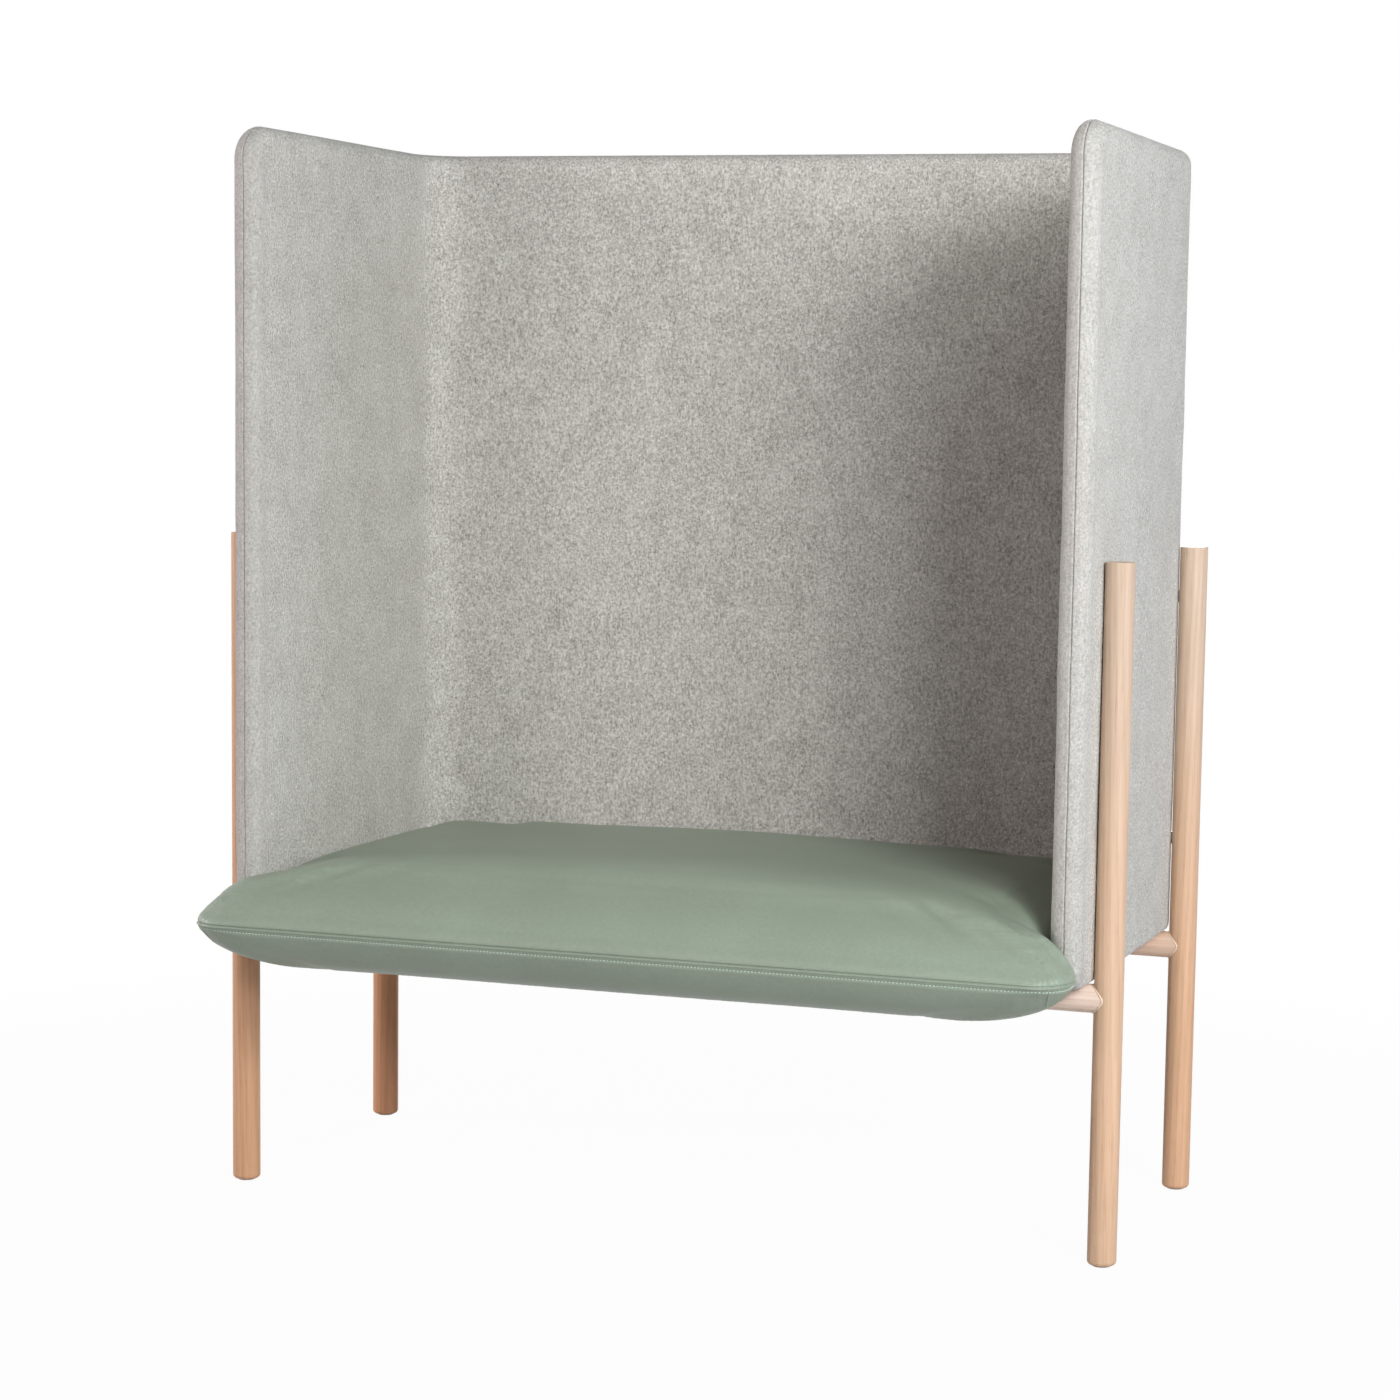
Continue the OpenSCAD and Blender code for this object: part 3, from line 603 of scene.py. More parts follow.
def build_screen():
    across, up = PANEL_ACROSS + 2 * PANEL_CORNER, PANEL_UP + 2 * PANEL_CORNER
    outline, flat_edge = panel_loop(0), panel_loop(PANEL_INSET)
    rim = len(outline)
    rings = edge_rings(outline, panel_loop(WALL_R))
    rings.append(np.column_stack([flat_edge, np.full(rim, WALL_R)]))
    flat = coons(flat_edge, across, up)
    ids, new = grid_in_ring((len(rings) - 1) * rim, across, up, len(rings) * rim)
    half = np.vstack(rings + [np.column_stack([flat[new], np.full(new.sum(), WALL_R)])])
    count = len(half)
    faces = np.vstack([band_quads([r * rim for r in range(len(rings))], rim), grid_quads(ids)])
    # The other side shares the ring along the seam
    other = np.where(faces < rim, faces, faces + count - rim)
    points = np.vstack([half, half[rim:] * (1, 1, -1)])
    shift = SWAY * wander(along_loop(outline), SWAY_WAVE, 7.0)
    sway = np.zeros(count)
    for r, angle in enumerate(RING_ANGLES):
        sway[r * rim:(r + 1) * rim] = shift * hump(angle, 0, SWAY_ANGLE)
    sway = np.concatenate([sway, sway[rim:]])
    s, z, w = points.T
    x, y, nx, ny = screen_path(s)
    path = np.column_stack([x, y, z])
    depth = np.abs(w) / WALL_R
    soft = sum(reach * ripple(path, wave, seed) for reach, wave, seed in PADDING_WAVES) - PADDING_SINK
    near_leg = np.maximum(*(hump(np.hypot(np.abs(x) - LEG_X, y - leg_y), 0, LEG_REACH)
                            for leg_y in (FRONT_Y, REAR_Y)))
    quiet = np.where((w > 0) & (z < LEG_HIGH[2] + LEG_ABOVE), 1 - near_leg, 1.0)
    w = w + sway + np.sign(w) * soft * depth * quiet * smooth(depth)
    rearward = smooth((y - SCREEN_FRONT) / (COVER_HIGH[1] - SCREEN_FRONT))
    z = z - TOP_FALL * rearward * smooth((z - FALL_FROM) / FALL_OVER)
    points = np.column_stack([x + nx * w, y + ny * w, z])
    screen = piece("felt_screen", points, faces.tolist() + other[:, ::-1].tolist(), FELT, "felt",
                   "felt_cover_outer", "felt_cover_inner", "foam_side_left", "foam_side_right",
                   "foam_back", "foam_corner_left", "foam_corner_right")


build_screen()


# Seat: rings of points that follow its seam, with the crown and underside of its solids
SEAM_Z = SEAT_TOP_LOW[2]
BODY_DROP = 21 * MM
SEAT_UNDER_Z = SEAM_Z - BODY_DROP
NOSE_X, NOSE_Y = SEAT_TOP_HIGH[0], SEAT_TOP_LOW[1]
SEAT_BACK_Y = SEAT_TOP_HIGH[1]
NOSE_R, NOSE_FLARE = 45 * MM, 48 * MM
SEAT_X = NOSE_X - NOSE_FLARE
SEAT_BACK_R = BEND_R - WALL_R
BACK_CORNER_Y = SEAT_BACK_Y - SEAT_BACK_R
NOSE_CORNER_Y = NOSE_Y + NOSE_R
FLARE_CLEAR_SHARE, FLARE_LEN_SHARE = 0.36, 1.25
FLARE_BACK_Y = SCREEN_FRONT + FLARE_CLEAR_SHARE * 2 * WALL_R
FLARE_FRONT_Y = FLARE_BACK_Y - FLARE_LEN_SHARE * NOSE_FLARE
CROWN_RISE = SEAT_TOP_HIGH[2] - SEAM_Z
CROWN_FRONT, CROWN_SIDE, CROWN_BACK = 184 * MM, 62 * MM, 110 * MM
CROWN_FALL_SHARE = 0.18
BELLY_DROP, BELLY_FRONT, BELLY_SIDE, UNDER_EDGE = 52 * MM, 50 * MM, 130 * MM, 10 * MM
BELLY_BACK_Y = FRONT_Y - BAR_R - UNDER_EDGE
BELLY_MID_Y = NOSE_Y + BELLY_FRONT
# Hem under the board, and the rise and way out in millimetres of its edge, which turns up to the board
HEM_SHARE, HEM_REACH = 0.44, 9.2 * MM
HEM_X = SEAT_X - HEM_SHARE * CROWN_SIDE
HEM_FRONT_Y = FRONT_Y - HEM_REACH
HEM_BACK_Y = BACK_CORNER_Y + SEAT_BACK_R / 2
HEM_TURNS = ((0.5, -0.6), (2.0, -0.6), (2.0, 6.0))
# Lengths of surface from the seam to the rings above and below it, and values for places far from it
TOP_ARCS = np.array([0, 0.5, 1, 1.6, 2.4, 3.4, 4.8, 6.5, 8.5, 11, 14, 18, 23, 29, 36]) * MM
UNDER_ARCS = np.array([0, 0.5, 1, 1.6, 2.2, 3, 4, 5, 5.8, 6.4, 7, 7.6, 8.4, 9.6, 11.5, 14]) * MM
TOP_MOST, UNDER_MOST = 60 * MM, 30 * MM
MIDDLE_ARC, HEM_ARC = 100 * MM, 1000 * MM
STITCH_RING = 10
UNDER_RINGS = 24
# The nose's corners have a joint seam at this angle from the side
JOINT_TURN = math.radians(51.5)
# Spacing of the points along the seam, by their distance from a joint seam, and its growth to the rear
SPACING_AT = np.array([0, 2.2, 3.4, 24, 30, 60, 90]) * MM
SPACING = np.array([0.45, 0.45, 1.1, 1.1, 2.0, 2.2, 4.0]) * MM
REAR_WIDER, REAR_LEN, REAR_OVER = 0.6, 400 * MM, 100 * MM
# Samples along curves whose points are chosen by length
TURN_SAMPLES, SIDE_SAMPLES, SPREAD_SAMPLES, INSET_SAMPLES = 300, 3000, 4001, 400
# Before the filling, the crown lies this much lower, and the belly this share of it
SWELL, BELLY_SWELL_SHARE = 5 * MM, 0.45
# The filling: voxel, most that a point moves, pressure, quality, steps, and neighbours that carry a point
VOXEL, SWELL_MOST = 9 * MM, 7 * MM
PRESSURE, CLOTH_QUALITY, CLOTH_STEPS, CARRIERS = 4.0, 4, 20, 6
NEAR_SHARE = 0.2
# What the filling leaves in place: a band at the seam and what rests on the board and the bars
HELD_HEIGHT, HELD_WIDTH, RESTING_HEIGHT = 8 * MM, 12 * MM, 4 * MM
SWELL_ARC, SCREEN_FADE, BOARD_FADE = 22, 30 * MM, 20 * MM
# Seams in millimetres, as bells: of the top and bottom leather, and the joints at the nose's corners
TOP_SEAM = [(-1.2, 0, 0.6), (0.2, 2.6, 1.8)]
LOW_SEAM = [(-1.2, 0, 0.6), (1.6, 2.0, 1.2), (0.35, 4.6, 1.4), (-0.6, 7, 0.9), (0.3, 9.4, 1.6)]
JOINT_SEAM = [(-1.0, 0, 0.8), (0.4, 2.1, 1.0)]
JOINT_START, JOINT_END, JOINT_FADE = 2, 60, 35
# Gathers by a joint in millimetres: height, pitch, phase, wander, length of its wave, reach, place by side
GATHER, GATHER_PITCH, GATHER_PHASE, GATHER_TURN, GATHER_WAVE, GATHER_REACH = 0.7, 7.5, 1.3, 2.5, 20 * MM, 13
TOP_GATHER_PLACE, LOW_GATHER_PLACE = (5, 6), (5, 4)
# Faint puckers along the seam: length of a wave, and bells by side in millimetres
PUCKER_WAVE = 11 * MM
TOP_PUCKER, LOW_PUCKER = (0.18, 5, 6), (0.2, 8, 5)
# Soft unevenness of the top: height, start and growth in millimetres, and length of a wave
SOFT, SOFT_START, SOFT_OVER, SOFT_WAVE = 0.5, 8, 40, 160 * MM


def edge_rise(d, reach):
    return np.sqrt(np.clip(1 - (1 - np.clip(d / reach, 0, 1)) ** 2, 0, 1))


def seat_half(y):
    """Half width of the seat at depth y."""
    nose = NOSE_X - NOSE_R + np.sqrt(np.clip(NOSE_R ** 2 - (NOSE_CORNER_Y - y) ** 2, 0, None))
    back = SEAT_X - SEAT_BACK_R + np.sqrt(np.clip(SEAT_BACK_R ** 2 - (y - BACK_CORNER_Y) ** 2, 0, None))
    flare = NOSE_X - NOSE_FLARE * smooth((y - FLARE_FRONT_Y) / (FLARE_BACK_Y - FLARE_FRONT_Y))
    return np.where(y < NOSE_CORNER_Y, nose, np.where(y > BACK_CORNER_Y, back, flare))


def crown_z(x, y, less):
    w = seat_half(y)
    arch = 1 - CROWN_FALL_SHARE * (x / w) ** 2
    rise = edge_rise(y - NOSE_Y, CROWN_FRONT) * edge_rise(w - np.abs(x), CROWN_SIDE)
    return SEAM_Z + (CROWN_RISE - less) * arch * rise * edge_rise(SEAT_BACK_Y - y, CROWN_BACK)


def under_z(x, y, more):
    w = seat_half(y)
    back = smooth((y - BELLY_MID_Y) / (BELLY_BACK_Y - BELLY_MID_Y))
    drop = BELLY_DROP + more + (BODY_DROP - BELLY_DROP - more) * back
    side = BELLY_SIDE + (UNDER_EDGE - BELLY_SIDE) * back
    return SEAM_Z - drop * (edge_rise(y - NOSE_Y, BELLY_FRONT) * edge_rise(w - np.abs(x), side)
                            * edge_rise(SEAT_BACK_Y - y, UNDER_EDGE))


def spread(length, spacing):
    """Places from 0 to length, as far apart as spacing says."""
    s = np.linspace(0, length, SPREAD_SAMPLES)
    pace = 1 / spacing(s)
    count = np.concatenate([[0], np.cumsum((pace[1:] + pace[:-1]) / 2 * np.diff(s))])
    return np.interp(np.linspace(0, count[-1], max(2, round(count[-1])) + 1), count, s)


def seat_outline():
    """Points round the seat from its left rear corner, clockwise from above, and the counts of its sides."""
    half_turn = TURN_SAMPLES // 2
    a = 2 * np.linspace(0, math.pi / 4, TURN_SAMPLES)
    back_turn = np.column_stack([SEAT_X - SEAT_BACK_R * (1 - np.sin(a)),
                                 BACK_CORNER_Y + SEAT_BACK_R * np.cos(a)])
    nose_turn = np.column_stack([NOSE_X - NOSE_R * (1 - np.cos(a)), NOSE_CORNER_Y - NOSE_R * np.sin(a)])
    y = np.linspace(BACK_CORNER_Y, NOSE_CORNER_Y, SIDE_SAMPLES)
    flank = np.column_stack([seat_half(y), y])
    right = np.vstack([back_turn[half_turn:-1], flank, nose_turn[1:half_turn]])
    front = np.vstack([nose_turn[half_turn - 1:], [(0, NOSE_Y)]])
    back = np.vstack([[(0, SEAT_BACK_Y)], back_turn[:half_turn + 1]])
    front_lengths, side_lengths, back_lengths = (lengths_along(line) for line in (front, right, back))
    joint = (JOINT_TURN - math.pi / 4) * NOSE_R
    length = side_lengths[-1]

    def front_spacing(s):
        return np.interp(np.abs(s - joint), SPACING_AT, SPACING)

    def side_spacing(s):
        wider = 1 + REAR_WIDER * smooth((REAR_LEN - s) / REAR_OVER)
        return wider * np.interp(length - s + joint, SPACING_AT, SPACING)

    front_places = spread(front_lengths[-1], front_spacing)
    half_front = at_places(front_places, front_lengths, front)
    side = at_places(spread(length, side_spacing), side_lengths, right)
    back_places = (1 - front_places / front_places[-1])[::-1] * back_lengths[-1]
    half_back = at_places(back_places, back_lengths, back)
    mirror = np.array((-1, 1))
    line = np.vstack([(half_back * mirror)[::-1][:-1], half_back[:-1], side[:-1], half_front[:-1],
                      (half_front * mirror)[::-1][:-1], (side * mirror)[::-1][:-1]])
    return line, 2 * (len(half_front) - 1), len(side) - 1


def loop_outward(line):
    tangent = unit(np.roll(line, -1, axis=0) - np.roll(line, 1, axis=0))
    return np.column_stack([-tangent[:, 1], tangent[:, 0]])


def ring_loops(line, surface, arcs, most):
    """Loops inside the outline, at the given lengths of surface from it."""
    outward = loop_outward(line)
    steps = most * np.linspace(0, 1, INSET_SAMPLES) ** 3
    x = line[:, 0, None] - outward[:, 0, None] * steps
    y = line[:, 1, None] - outward[:, 1, None] * steps
    spans = np.hypot(np.diff(surface(x, y), axis=1), np.diff(steps)[None])
    lengths = np.concatenate([np.zeros((len(line), 1)), np.cumsum(spans, axis=1)], axis=1)
    insets = np.array([np.interp(arcs, row, steps) for row in lengths])
    return [line - outward * insets[:, k, None] for k in range(len(arcs))]


def hem_loop(line, across, up):
    """Outline of the hem under the board, with a point for each point of the seam."""
    ends = [0, across, across + up, 2 * across + up]
    corners = [(-HEM_X, HEM_BACK_Y), (HEM_X, HEM_BACK_Y), (HEM_X, HEM_FRONT_Y), (-HEM_X, HEM_FRONT_Y)]
    loop = []
    for i, start in enumerate(ends):
        axis = i % 2
        side = np.roll(line, -start, axis=0)[:(across, up)[axis] + 1]
        share = ((side[:-1, axis] - side[0, axis]) / (side[-1, axis] - side[0, axis]))[:, None]
        loop.append(np.array(corners[i]) * (1 - share) + np.array(corners[(i + 1) % 4]) * share)
    return np.vstack(loop)


class Skin:
    """The seat's points in blocks, each with its length of surface from the seam and its place along it."""

    def __init__(self, rim):
        self.ring = np.arange(rim)
        self.blocks, self.arcs, self.places = [], [], []
        self.count = 0

    def add(self, points, arc, place=None):
        """Adds a ring or another block, and returns the number of its first point."""
        self.blocks.append(points)
        self.arcs.append(np.broadcast_to(arc, len(points)))
        self.places.append(self.ring if place is None else place)
        self.count += len(points)
        return self.count - len(points)


def seat_skin(line, across, up, less):
    """The seat's skin and faces, how many points lie above the seam, and the starts of the rings below."""
    rim = len(line)
    skin = Skin(rim)

    def top_z(x, y):
        return crown_z(x, y, less)

    def low_z(x, y):
        return under_z(x, y, BELLY_SWELL_SHARE * less)

    # Above the seam: rings, then a grid inside the last one
    loops = ring_loops(line, top_z, TOP_ARCS, TOP_MOST)
    starts = [skin.add(np.column_stack([loop, top_z(*loop.T)]), arc) for loop, arc in zip(loops, TOP_ARCS)]
    ids, new = grid_in_ring(starts[-1], across, up, skin.count)
    inner = coons(loops[-1], across, up)[new]
    skin.add(np.column_stack([inner, top_z(*inner.T)]), MIDDLE_ARC, np.zeros(len(inner), int))
    faces = [band_quads(starts, rim)[:, ::-1], grid_quads(ids)[:, ::-1]]
    top_count = skin.count
    # Below it: rings, then loops that change into the hem's outline
    loops = ring_loops(line, low_z, UNDER_ARCS, UNDER_MOST)
    last, hem = loops[-1], hem_loop(line, across, up)
    shares = [k / UNDER_RINGS for k in range(1, UNDER_RINGS + 1)]
    rings = list(zip(loops[1:], UNDER_ARCS[1:]))
    for loop in (last * (1 - t) + hem * t for t in shares):
        rings.append((loop, UNDER_ARCS[-1] + np.linalg.norm(loop - last, axis=1)))
    starts = [0] + [skin.add(np.column_stack([loop, low_z(*loop.T)]), arc) for loop, arc in rings]
    away = unit(hem - hem.mean(axis=0))
    for rise, out in HEM_TURNS:
        edge = np.column_stack([hem + away * out * MM, np.full(rim, SEAT_UNDER_Z + rise * MM)])
        starts.append(skin.add(edge, HEM_ARC))
    faces.append(band_quads(starts, rim))
    return skin, np.vstack(faces), top_count, starts


def filled(body):
    """Moves of a body's points while pressure fills it as a cloth, with its pinned group held."""
    start = vertex_rows(body.data.vertices, "co")
    cloth = body.modifiers.new("cloth", "CLOTH")
    cloth.settings.quality = CLOTH_QUALITY
    cloth.settings.use_pressure = True
    cloth.settings.uniform_pressure_force = PRESSURE
    cloth.settings.vertex_group_mass = "pinned"
    cloth.settings.effector_weights.gravity = 0
    cloth.collision_settings.use_collision = False
    for step in range(1, CLOTH_STEPS + 1):
        bpy.context.scene.frame_set(step)
    shaped = body.evaluated_get(bpy.context.evaluated_depsgraph_get())
    return vertex_rows(shaped.data.vertices, "co") - start


def swollen(points, faces, free):
    """How far each point moves when the form is filled and what isn't free is held."""
    body = link("swelling", mesh_of("swelling", points, faces))
    even = body.modifiers.new("even", "REMESH")
    even.mode, even.voxel_size = "VOXEL", VOXEL
    mesh = bpy.data.meshes.new_from_object(body.evaluated_get(bpy.context.evaluated_depsgraph_get()))
    body.modifiers.clear()
    body.data = mesh
    start = vertex_rows(mesh.vertices, "co")
    pinned = body.vertex_groups.new(name="pinned")
    pinned.add([int(i) for i in np.flatnonzero(~free(start))], 1.0, "REPLACE")
    move = filled(body)
    bpy.data.objects.remove(body)
    bpy.context.scene.frame_set(1)
    far = np.linalg.norm(move, axis=1, keepdims=True)
    move *= SWELL_MOST * np.tanh(far / SWELL_MOST) / np.maximum(far, 1e-9)
    tree = KDTree(len(start))
    for i, place in enumerate(start):
        tree.insert(place, i)
    tree.balance()
    result = np.empty((len(points), 3))
    for i, place in enumerate(points):
        near = tree.find_n(place, CARRIERS)
        weight = np.array([1 / (f[2] + NEAR_SHARE * VOXEL) ** 2 for f in near])
        result[i] = weight @ move[[f[1] for f in near]] / weight.sum()
    return result


def free_to_swell(p):
    x, y, z = p.T
    edge = np.minimum.reduce([seat_half(y) - np.abs(x), y - NOSE_Y, SEAT_BACK_Y - y])
    seam = (np.abs(z - SEAM_Z) < HELD_HEIGHT) & (edge < HELD_WIDTH)
    resting = (z < SEAT_UNDER_Z + RESTING_HEIGHT) & (y > BELLY_BACK_Y)
    return ~(seam | resting)


def swell_seat(points, faces, arc, below, last_loop, rim):
    """The seat's points after the filling; its skin is closed over the loop that begins at last_loop."""
    closed = [f for f in faces if max(f) < last_loop + rim] + [list(range(last_loop, last_loop + rim))]
    move = swollen(points, closed, free_to_swell)
    between = smooth((points[:, 1] - SCREEN_FRONT) / SCREEN_FADE)
    move[:, :2] *= (1 - between)[:, None]
    on_board = below * smooth((points[:, 1] - BELLY_BACK_Y + BOARD_FADE) / BOARD_FADE)
    return points + move * (smooth(arc / SWELL_ARC) * (1 - on_board))[:, None]


def joint_distance(line, along):
    """Distance along the outline to the nearer joint seam of the nose's corners."""
    corner = np.array((NOSE_X - NOSE_R, NOSE_CORNER_Y))
    joint = corner + NOSE_R * np.array((math.cos(JOINT_TURN), -math.sin(JOINT_TURN)))
    total = along[-1] + np.linalg.norm(line[-1] - line[0])
    joints = [np.argmin(np.linalg.norm(line - joint * (side, 1), axis=1)) for side in (1, -1)]
    nearer = np.minimum(*(np.abs(along - along[i]) for i in joints))
    return np.minimum(nearer, total - nearer)


def seat_relief(points, line, arc, place, below):
    """How far the leather stands out, in millimetres: its seams, lips, gathers and unevenness."""
    along = along_loop(line)
    j = joint_distance(line, along)[place] / MM
    waver = GATHER_TURN * wander(along, GATHER_WAVE, 9.0)[place]
    gather = GATHER * np.cos(2 * math.pi * j / GATHER_PITCH + GATHER_PHASE + waver) * hump(j, 0, GATHER_REACH)
    pucker = wander(along, PUCKER_WAVE, 3.0)[place]
    top = bells(arc, TOP_SEAM) + gather * hump(arc, *TOP_GATHER_PLACE) + pucker * bells(arc, [TOP_PUCKER])
    low = bells(arc, LOW_SEAM) + gather * hump(arc, *LOW_GATHER_PLACE) + pucker * bells(arc, [LOW_PUCKER])
    low += smooth(arc / JOINT_START) * bells(j, JOINT_SEAM) * smooth((JOINT_END - arc) / JOINT_FADE)
    soft = SOFT * ripple(points, SOFT_WAVE, 8.0) * smooth((arc - SOFT_START) / SOFT_OVER)
    relief = np.where(below, low, top + soft)
    return np.where(arc < HEM_ARC / MM, relief, 0)


def build_seat():
    """Makes the seat, and returns the points and normals of the line for its topstitching."""
    line, across, up = seat_outline()
    rim = len(line)
    skin, faces, top_count, starts = seat_skin(line, across, up, SWELL)
    faces = faces.tolist()
    points, arc, place = np.vstack(skin.blocks), np.concatenate(skin.arcs) / MM, np.concatenate(skin.places)
    below = np.arange(len(points)) >= top_count
    points = swell_seat(points, faces, arc, below, starts[-len(HEM_TURNS) - 1], rim)
    seat = piece("seat_cushion", points, faces, LEATHER, "leather",
                 "seat_cover_top", "seat_cover_bottom", "seat_foam")
    normal = vertex_rows(seat.data.vertices, "normal")
    points = points + normal * seat_relief(points, line, arc, place, below)[:, None] * MM
    seat.data.vertices.foreach_set("co", points.ravel())
    seat.data.update()
    # Round the nose, from one end of the flare to the other
    stitched = starts[STITCH_RING] + np.flatnonzero(line[:, 1] < FLARE_BACK_Y)
    return points[stitched], normal[stitched]


STITCH_PITCH, STITCH_LEN, STITCH_R, STITCH_SIDES = 4.5 * MM, 2.7 * MM, 0.7 * MM, 8
# A stitch's rings as shares of its length; how thick its tips are, and how it narrows, rises and sinks
STITCH_STATIONS = (-0.5, -0.44, -0.3, 0, 0.3, 0.44, 0.5)
STITCH_TIP, STITCH_NARROW, STITCH_RISE, STITCH_SINK = 0.12, 1.9, 0.55, 3.0


def tube_faces(first, rings, sides, closed=False):
    """Faces of a tube whose points begin at the given number; a closed one's last ring joins its first."""
    faces = []
    for r in range(rings if closed else rings - 1):
        here, there = first + sides * r, first + sides * ((r + 1) % rings)
        for k in range(sides):
            n = (k + 1) % sides
            faces.append((here + k, here + n, there + n, there + k))
    return faces


def build_stitches(line, normal):
    """Row of small stitches along a line, each sunk into the leather at its ends."""
    lengths = lengths_along(line)
    middles = np.arange(STITCH_PITCH / 2, lengths[-1], STITCH_PITCH)
    centre, up = at_places(middles, lengths, line), unit(at_places(middles, lengths, normal))
    start, end = (at_places(middles + share * STITCH_LEN, lengths, line) for share in (-0.5, 0.5))
    along = unit(end - start)
    across = np.cross(up, along)
    rings = []
    for t in STITCH_STATIONS:
        tip = abs(t) == 0.5
        thick = STITCH_R * (STITCH_TIP if tip else math.sqrt(1 - (STITCH_NARROW * t) ** 2))
        rise = STITCH_R * (STITCH_RISE - STITCH_SINK * t * t)
        for k in range(STITCH_SIDES):
            a = 2 * math.pi * k / STITCH_SIDES
            rings.append(centre + along * t * STITCH_LEN + across * thick * math.cos(a)
                         + up * (rise + thick * math.sin(a)))
    points = np.stack(rings, axis=1)
    size = len(rings)
    faces = []
    for first in range(0, len(middles) * size, size):
        faces += [face[::-1] for face in tube_faces(first, len(STITCH_STATIONS), STITCH_SIDES)]
        faces.append(tuple(first + k for k in range(STITCH_SIDES)))
        faces.append(tuple(first + size - 1 - k for k in range(STITCH_SIDES)))
    piece("seat_topstitch", points, faces, THREAD, "leather")


build_stitches(*build_seat())


GLUE_R, GLUE_SIDES, GLUE_POINTS = 1.2 * MM, 8, 96


def bead(line):
    """Points of a round bead along a closed line."""
    ahead = unit(np.roll(line, -1, axis=0) - np.roll(line, 1, axis=0))
    side = unit(np.cross(ahead, (0.0, 0.0, 1.0)) + np.cross(ahead, (1e-3, 0.0, 0.0)))
    up = np.cross(side, ahead)
    angles = [2 * math.pi * k / GLUE_SIDES for k in range(GLUE_SIDES)]
    return np.stack([line + GLUE_R * (side * math.cos(a) + up * math.sin(a)) for a in angles], axis=1)


def build_glue_lines():
    """Rounded line of glue where each crossbar is saddled onto its legs."""
    a = np.linspace(0, 2 * math.pi, GLUE_POINTS, endpoint=False)
    faces = tube_faces(0, GLUE_POINTS, GLUE_SIDES, closed=True)
    for end, leg_y in (("front", FRONT_Y), ("rear", REAR_Y)):
        for side, sx in (("left", -1), ("right", 1)):
            y = BAR_R * np.cos(a)
            x = sx * (LEG_X - np.sqrt(LEG_R ** 2 - y ** 2))
            line = np.column_stack([x, leg_y + y, BAR_Z + BAR_R * np.sin(a)])
            piece(f"glue_line_{end}_{side}", bead(line), faces, GLUE, "oak")


build_glue_lines()


# Dust cover: a cloth stapled under the board, which sags and has a hem
DUST_POINTS_X, DUST_POINTS_Y = 97, 37
DUST_THICK = 0.6 * MM
SAG, SAG_OVER, SAG_WAVER, SAG_WAVE = 2.2 * MM, 90 * MM, 0.35, 110 * MM
DUST_HEM = (0.5 * MM, 8 * MM, 3 * MM)


def build_dust_cover():
    x, y = np.meshgrid(np.linspace(DUST_LOW[0], DUST_HIGH[0], DUST_POINTS_X),
                       np.linspace(DUST_LOW[1], DUST_HIGH[1], DUST_POINTS_Y), indexing="ij")
    edge = np.minimum.reduce([x - DUST_LOW[0], DUST_HIGH[0] - x, y - DUST_LOW[1], DUST_HIGH[1] - y])
    flat = np.dstack([x, y, np.zeros_like(x)])
    sag = SAG * smooth(edge / SAG_OVER) * (1 + SAG_WAVER * ripple(flat, SAG_WAVE, 4.0))
    points = np.dstack([x, y, DUST_LOW[2] - sag - bells(edge, [DUST_HEM])])
    ids = np.arange(x.size).reshape(x.shape)
    cloth = piece("dust_cloth", points, grid_quads(ids).tolist(), CLOTH, "dust_cloth", "dust_cover")
    thick = cloth.modifiers.new("thick", "SOLIDIFY")
    thick.thickness = DUST_THICK
    thick.offset = -1


# Staples: wire, half their width, distance from the cloth's edge and from its corner, and counts
WIRE_R, WIRE_SIDES, STAPLE_HALF, STAPLE_INSET, STAPLE_START = 0.45 * MM, 6, 5 * MM, 5 * MM, 25 * MM
STAPLES_ACROSS, STAPLES_DEEP = 17, 7
# Those in the leather: how far out from the hem's edge, and how far behind those in the cloth
HEM_STAPLE_OUT, HEM_STAPLE_BACK = 7 * MM, 24 * MM
# A staple's line, as shares of half its width and heights in millimetres
STAPLE_LINE = [(-1, 1.0), (-1, -0.1), (-0.9, -0.5), (0.9, -0.5), (1, -0.1), (1, 1.0)]


def build_staples():
    """Staples through the dust cover's edge and, at the sides, the leather's hem."""
    spots = []
    for x in np.linspace(DUST_LOW[0] + STAPLE_START, DUST_HIGH[0] - STAPLE_START, STAPLES_ACROSS):
        for y in (DUST_LOW[1] + STAPLE_INSET, DUST_HIGH[1] - STAPLE_INSET):
            spots.append((x, y, DUST_LOW[2], (1, 0)))
    for y in np.linspace(DUST_LOW[1] + STAPLE_START, DUST_HIGH[1] - STAPLE_START, STAPLES_DEEP):
        for side in (-1, 1):
            spots.append((side * (DUST_HIGH[0] - STAPLE_INSET), y, DUST_LOW[2], (0, 1)))
            spots.append((side * (HEM_X + HEM_STAPLE_OUT), y + HEM_STAPLE_BACK, SEAT_UNDER_Z, (0, 1)))
    points, faces = [], []
    for x, y, z, (dx, dy) in spots:
        faces += tube_faces(len(points), len(STAPLE_LINE), WIRE_SIDES)
        for share, lift in STAPLE_LINE:
            t = share * STAPLE_HALF
            for k in range(WIRE_SIDES):
                a = 2 * math.pi * k / WIRE_SIDES
                aside, up = WIRE_R * math.cos(a), WIRE_R * math.sin(a)
                points.append((x + dx * t + dy * aside, y + dy * t + dx * aside, z + lift * MM + up))
    piece("seat_staples", points, faces, STEEL, "steel")


build_dust_cover()
build_staples()


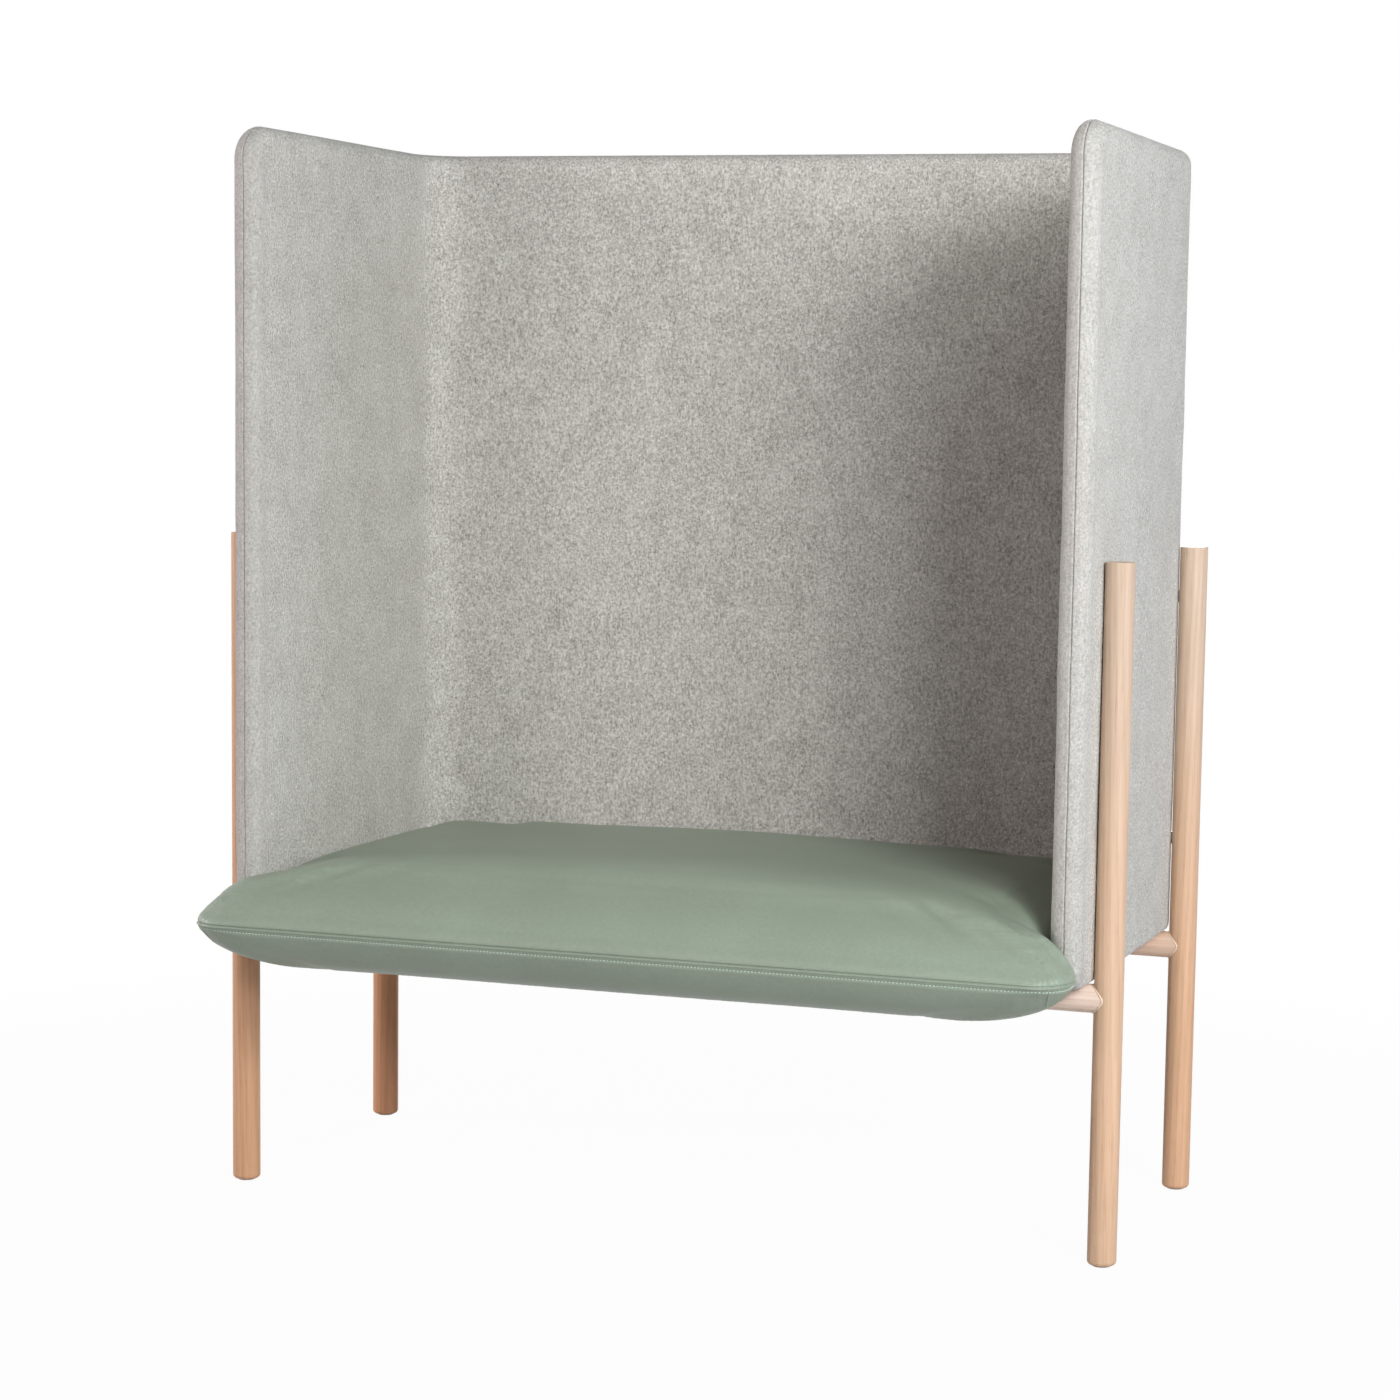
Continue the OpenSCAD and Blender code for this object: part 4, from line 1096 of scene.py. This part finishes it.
# Floor and world are white to the eye; the floor becomes so between two distances from the middle
WHITE = (1.0, 1.0, 1.0)
WORLD_LIGHT = 0.01
FLOOR_HALF, FLOOR_GREY = 30, (0.5, 0.5, 0.5)
FLOOR_WHITE, FLOOR_NEAR, FLOOR_FAR = 0.965, 0.9, 2.2
# Lamps: bearing from the front and height in degrees, power and colour
LAMP_SIZE, LAMP_DISTANCE, LAMP_AIM = 0.8, 4.0, Vector((0, 0, 0.8))
LAMPS = {
    "key": (50, 22, 71, (0.94, 1.0, 0.98)),
    "key_low": (40, 12, 51, (0.97, 0.95, 1.0)),
    "key_high": (40, 35, 23, (0.92, 1.0, 0.92)),
    "side": (80, 12, 32, (0.86, 0.86, 1.0)),
    "front": (5, 12, 15, (1.0, 0.90, 0.98)),
    "front_left": (-25, 12, 17, (1.0, 0.84, 0.86)),
    "left": (-80, 12, 82, (1.0, 0.94, 0.95)),
    "back": (182, 4, 100, (1.0, 0.97, 0.97)),
}


def make_floor():
    corners = [(x * FLOOR_HALF, y * FLOOR_HALF, 0) for x, y in ((-1, -1), (1, -1), (1, 1), (-1, 1))]
    floor = link("floor", mesh_of("floor", corners, [(0, 1, 2, 3)]))
    t = Tree("white_floor")
    far = t.mask(t.vector_math("LENGTH", t.place), FLOOR_NEAR, FLOOR_FAR)
    t.shown_to_eye(t.add("BsdfDiffuse", Color=FLOOR_GREY), t.add("Emission", Color=WHITE),
                   t.linear(FLOOR_WHITE, far, 1 - FLOOR_WHITE))
    floor.data.materials.append(t.owner)


def make_world():
    t = Tree("studio", bpy.data.worlds, "World")
    t.shown_to_eye(t.add("Background", Color=WHITE, Strength=WORLD_LIGHT), t.add("Background", Color=WHITE))
    bpy.context.scene.world = t.owner


def make_lamp(name, bearing, height, power, color):
    away = direction(bearing, height)
    data = bpy.data.lights.new(name, "AREA")
    data.size = LAMP_SIZE
    data.energy = power
    data.color = color
    lamp = link(name, data)
    lamp.location = LAMP_AIM + LAMP_DISTANCE * away
    lamp.rotation_euler = away.to_track_quat("Z", "Y").to_euler()


make_floor()
make_world()
for lamp_name, lamp in LAMPS.items():
    make_lamp(lamp_name, *lamp)

scene = bpy.context.scene
scene.view_settings.view_transform = "Standard"
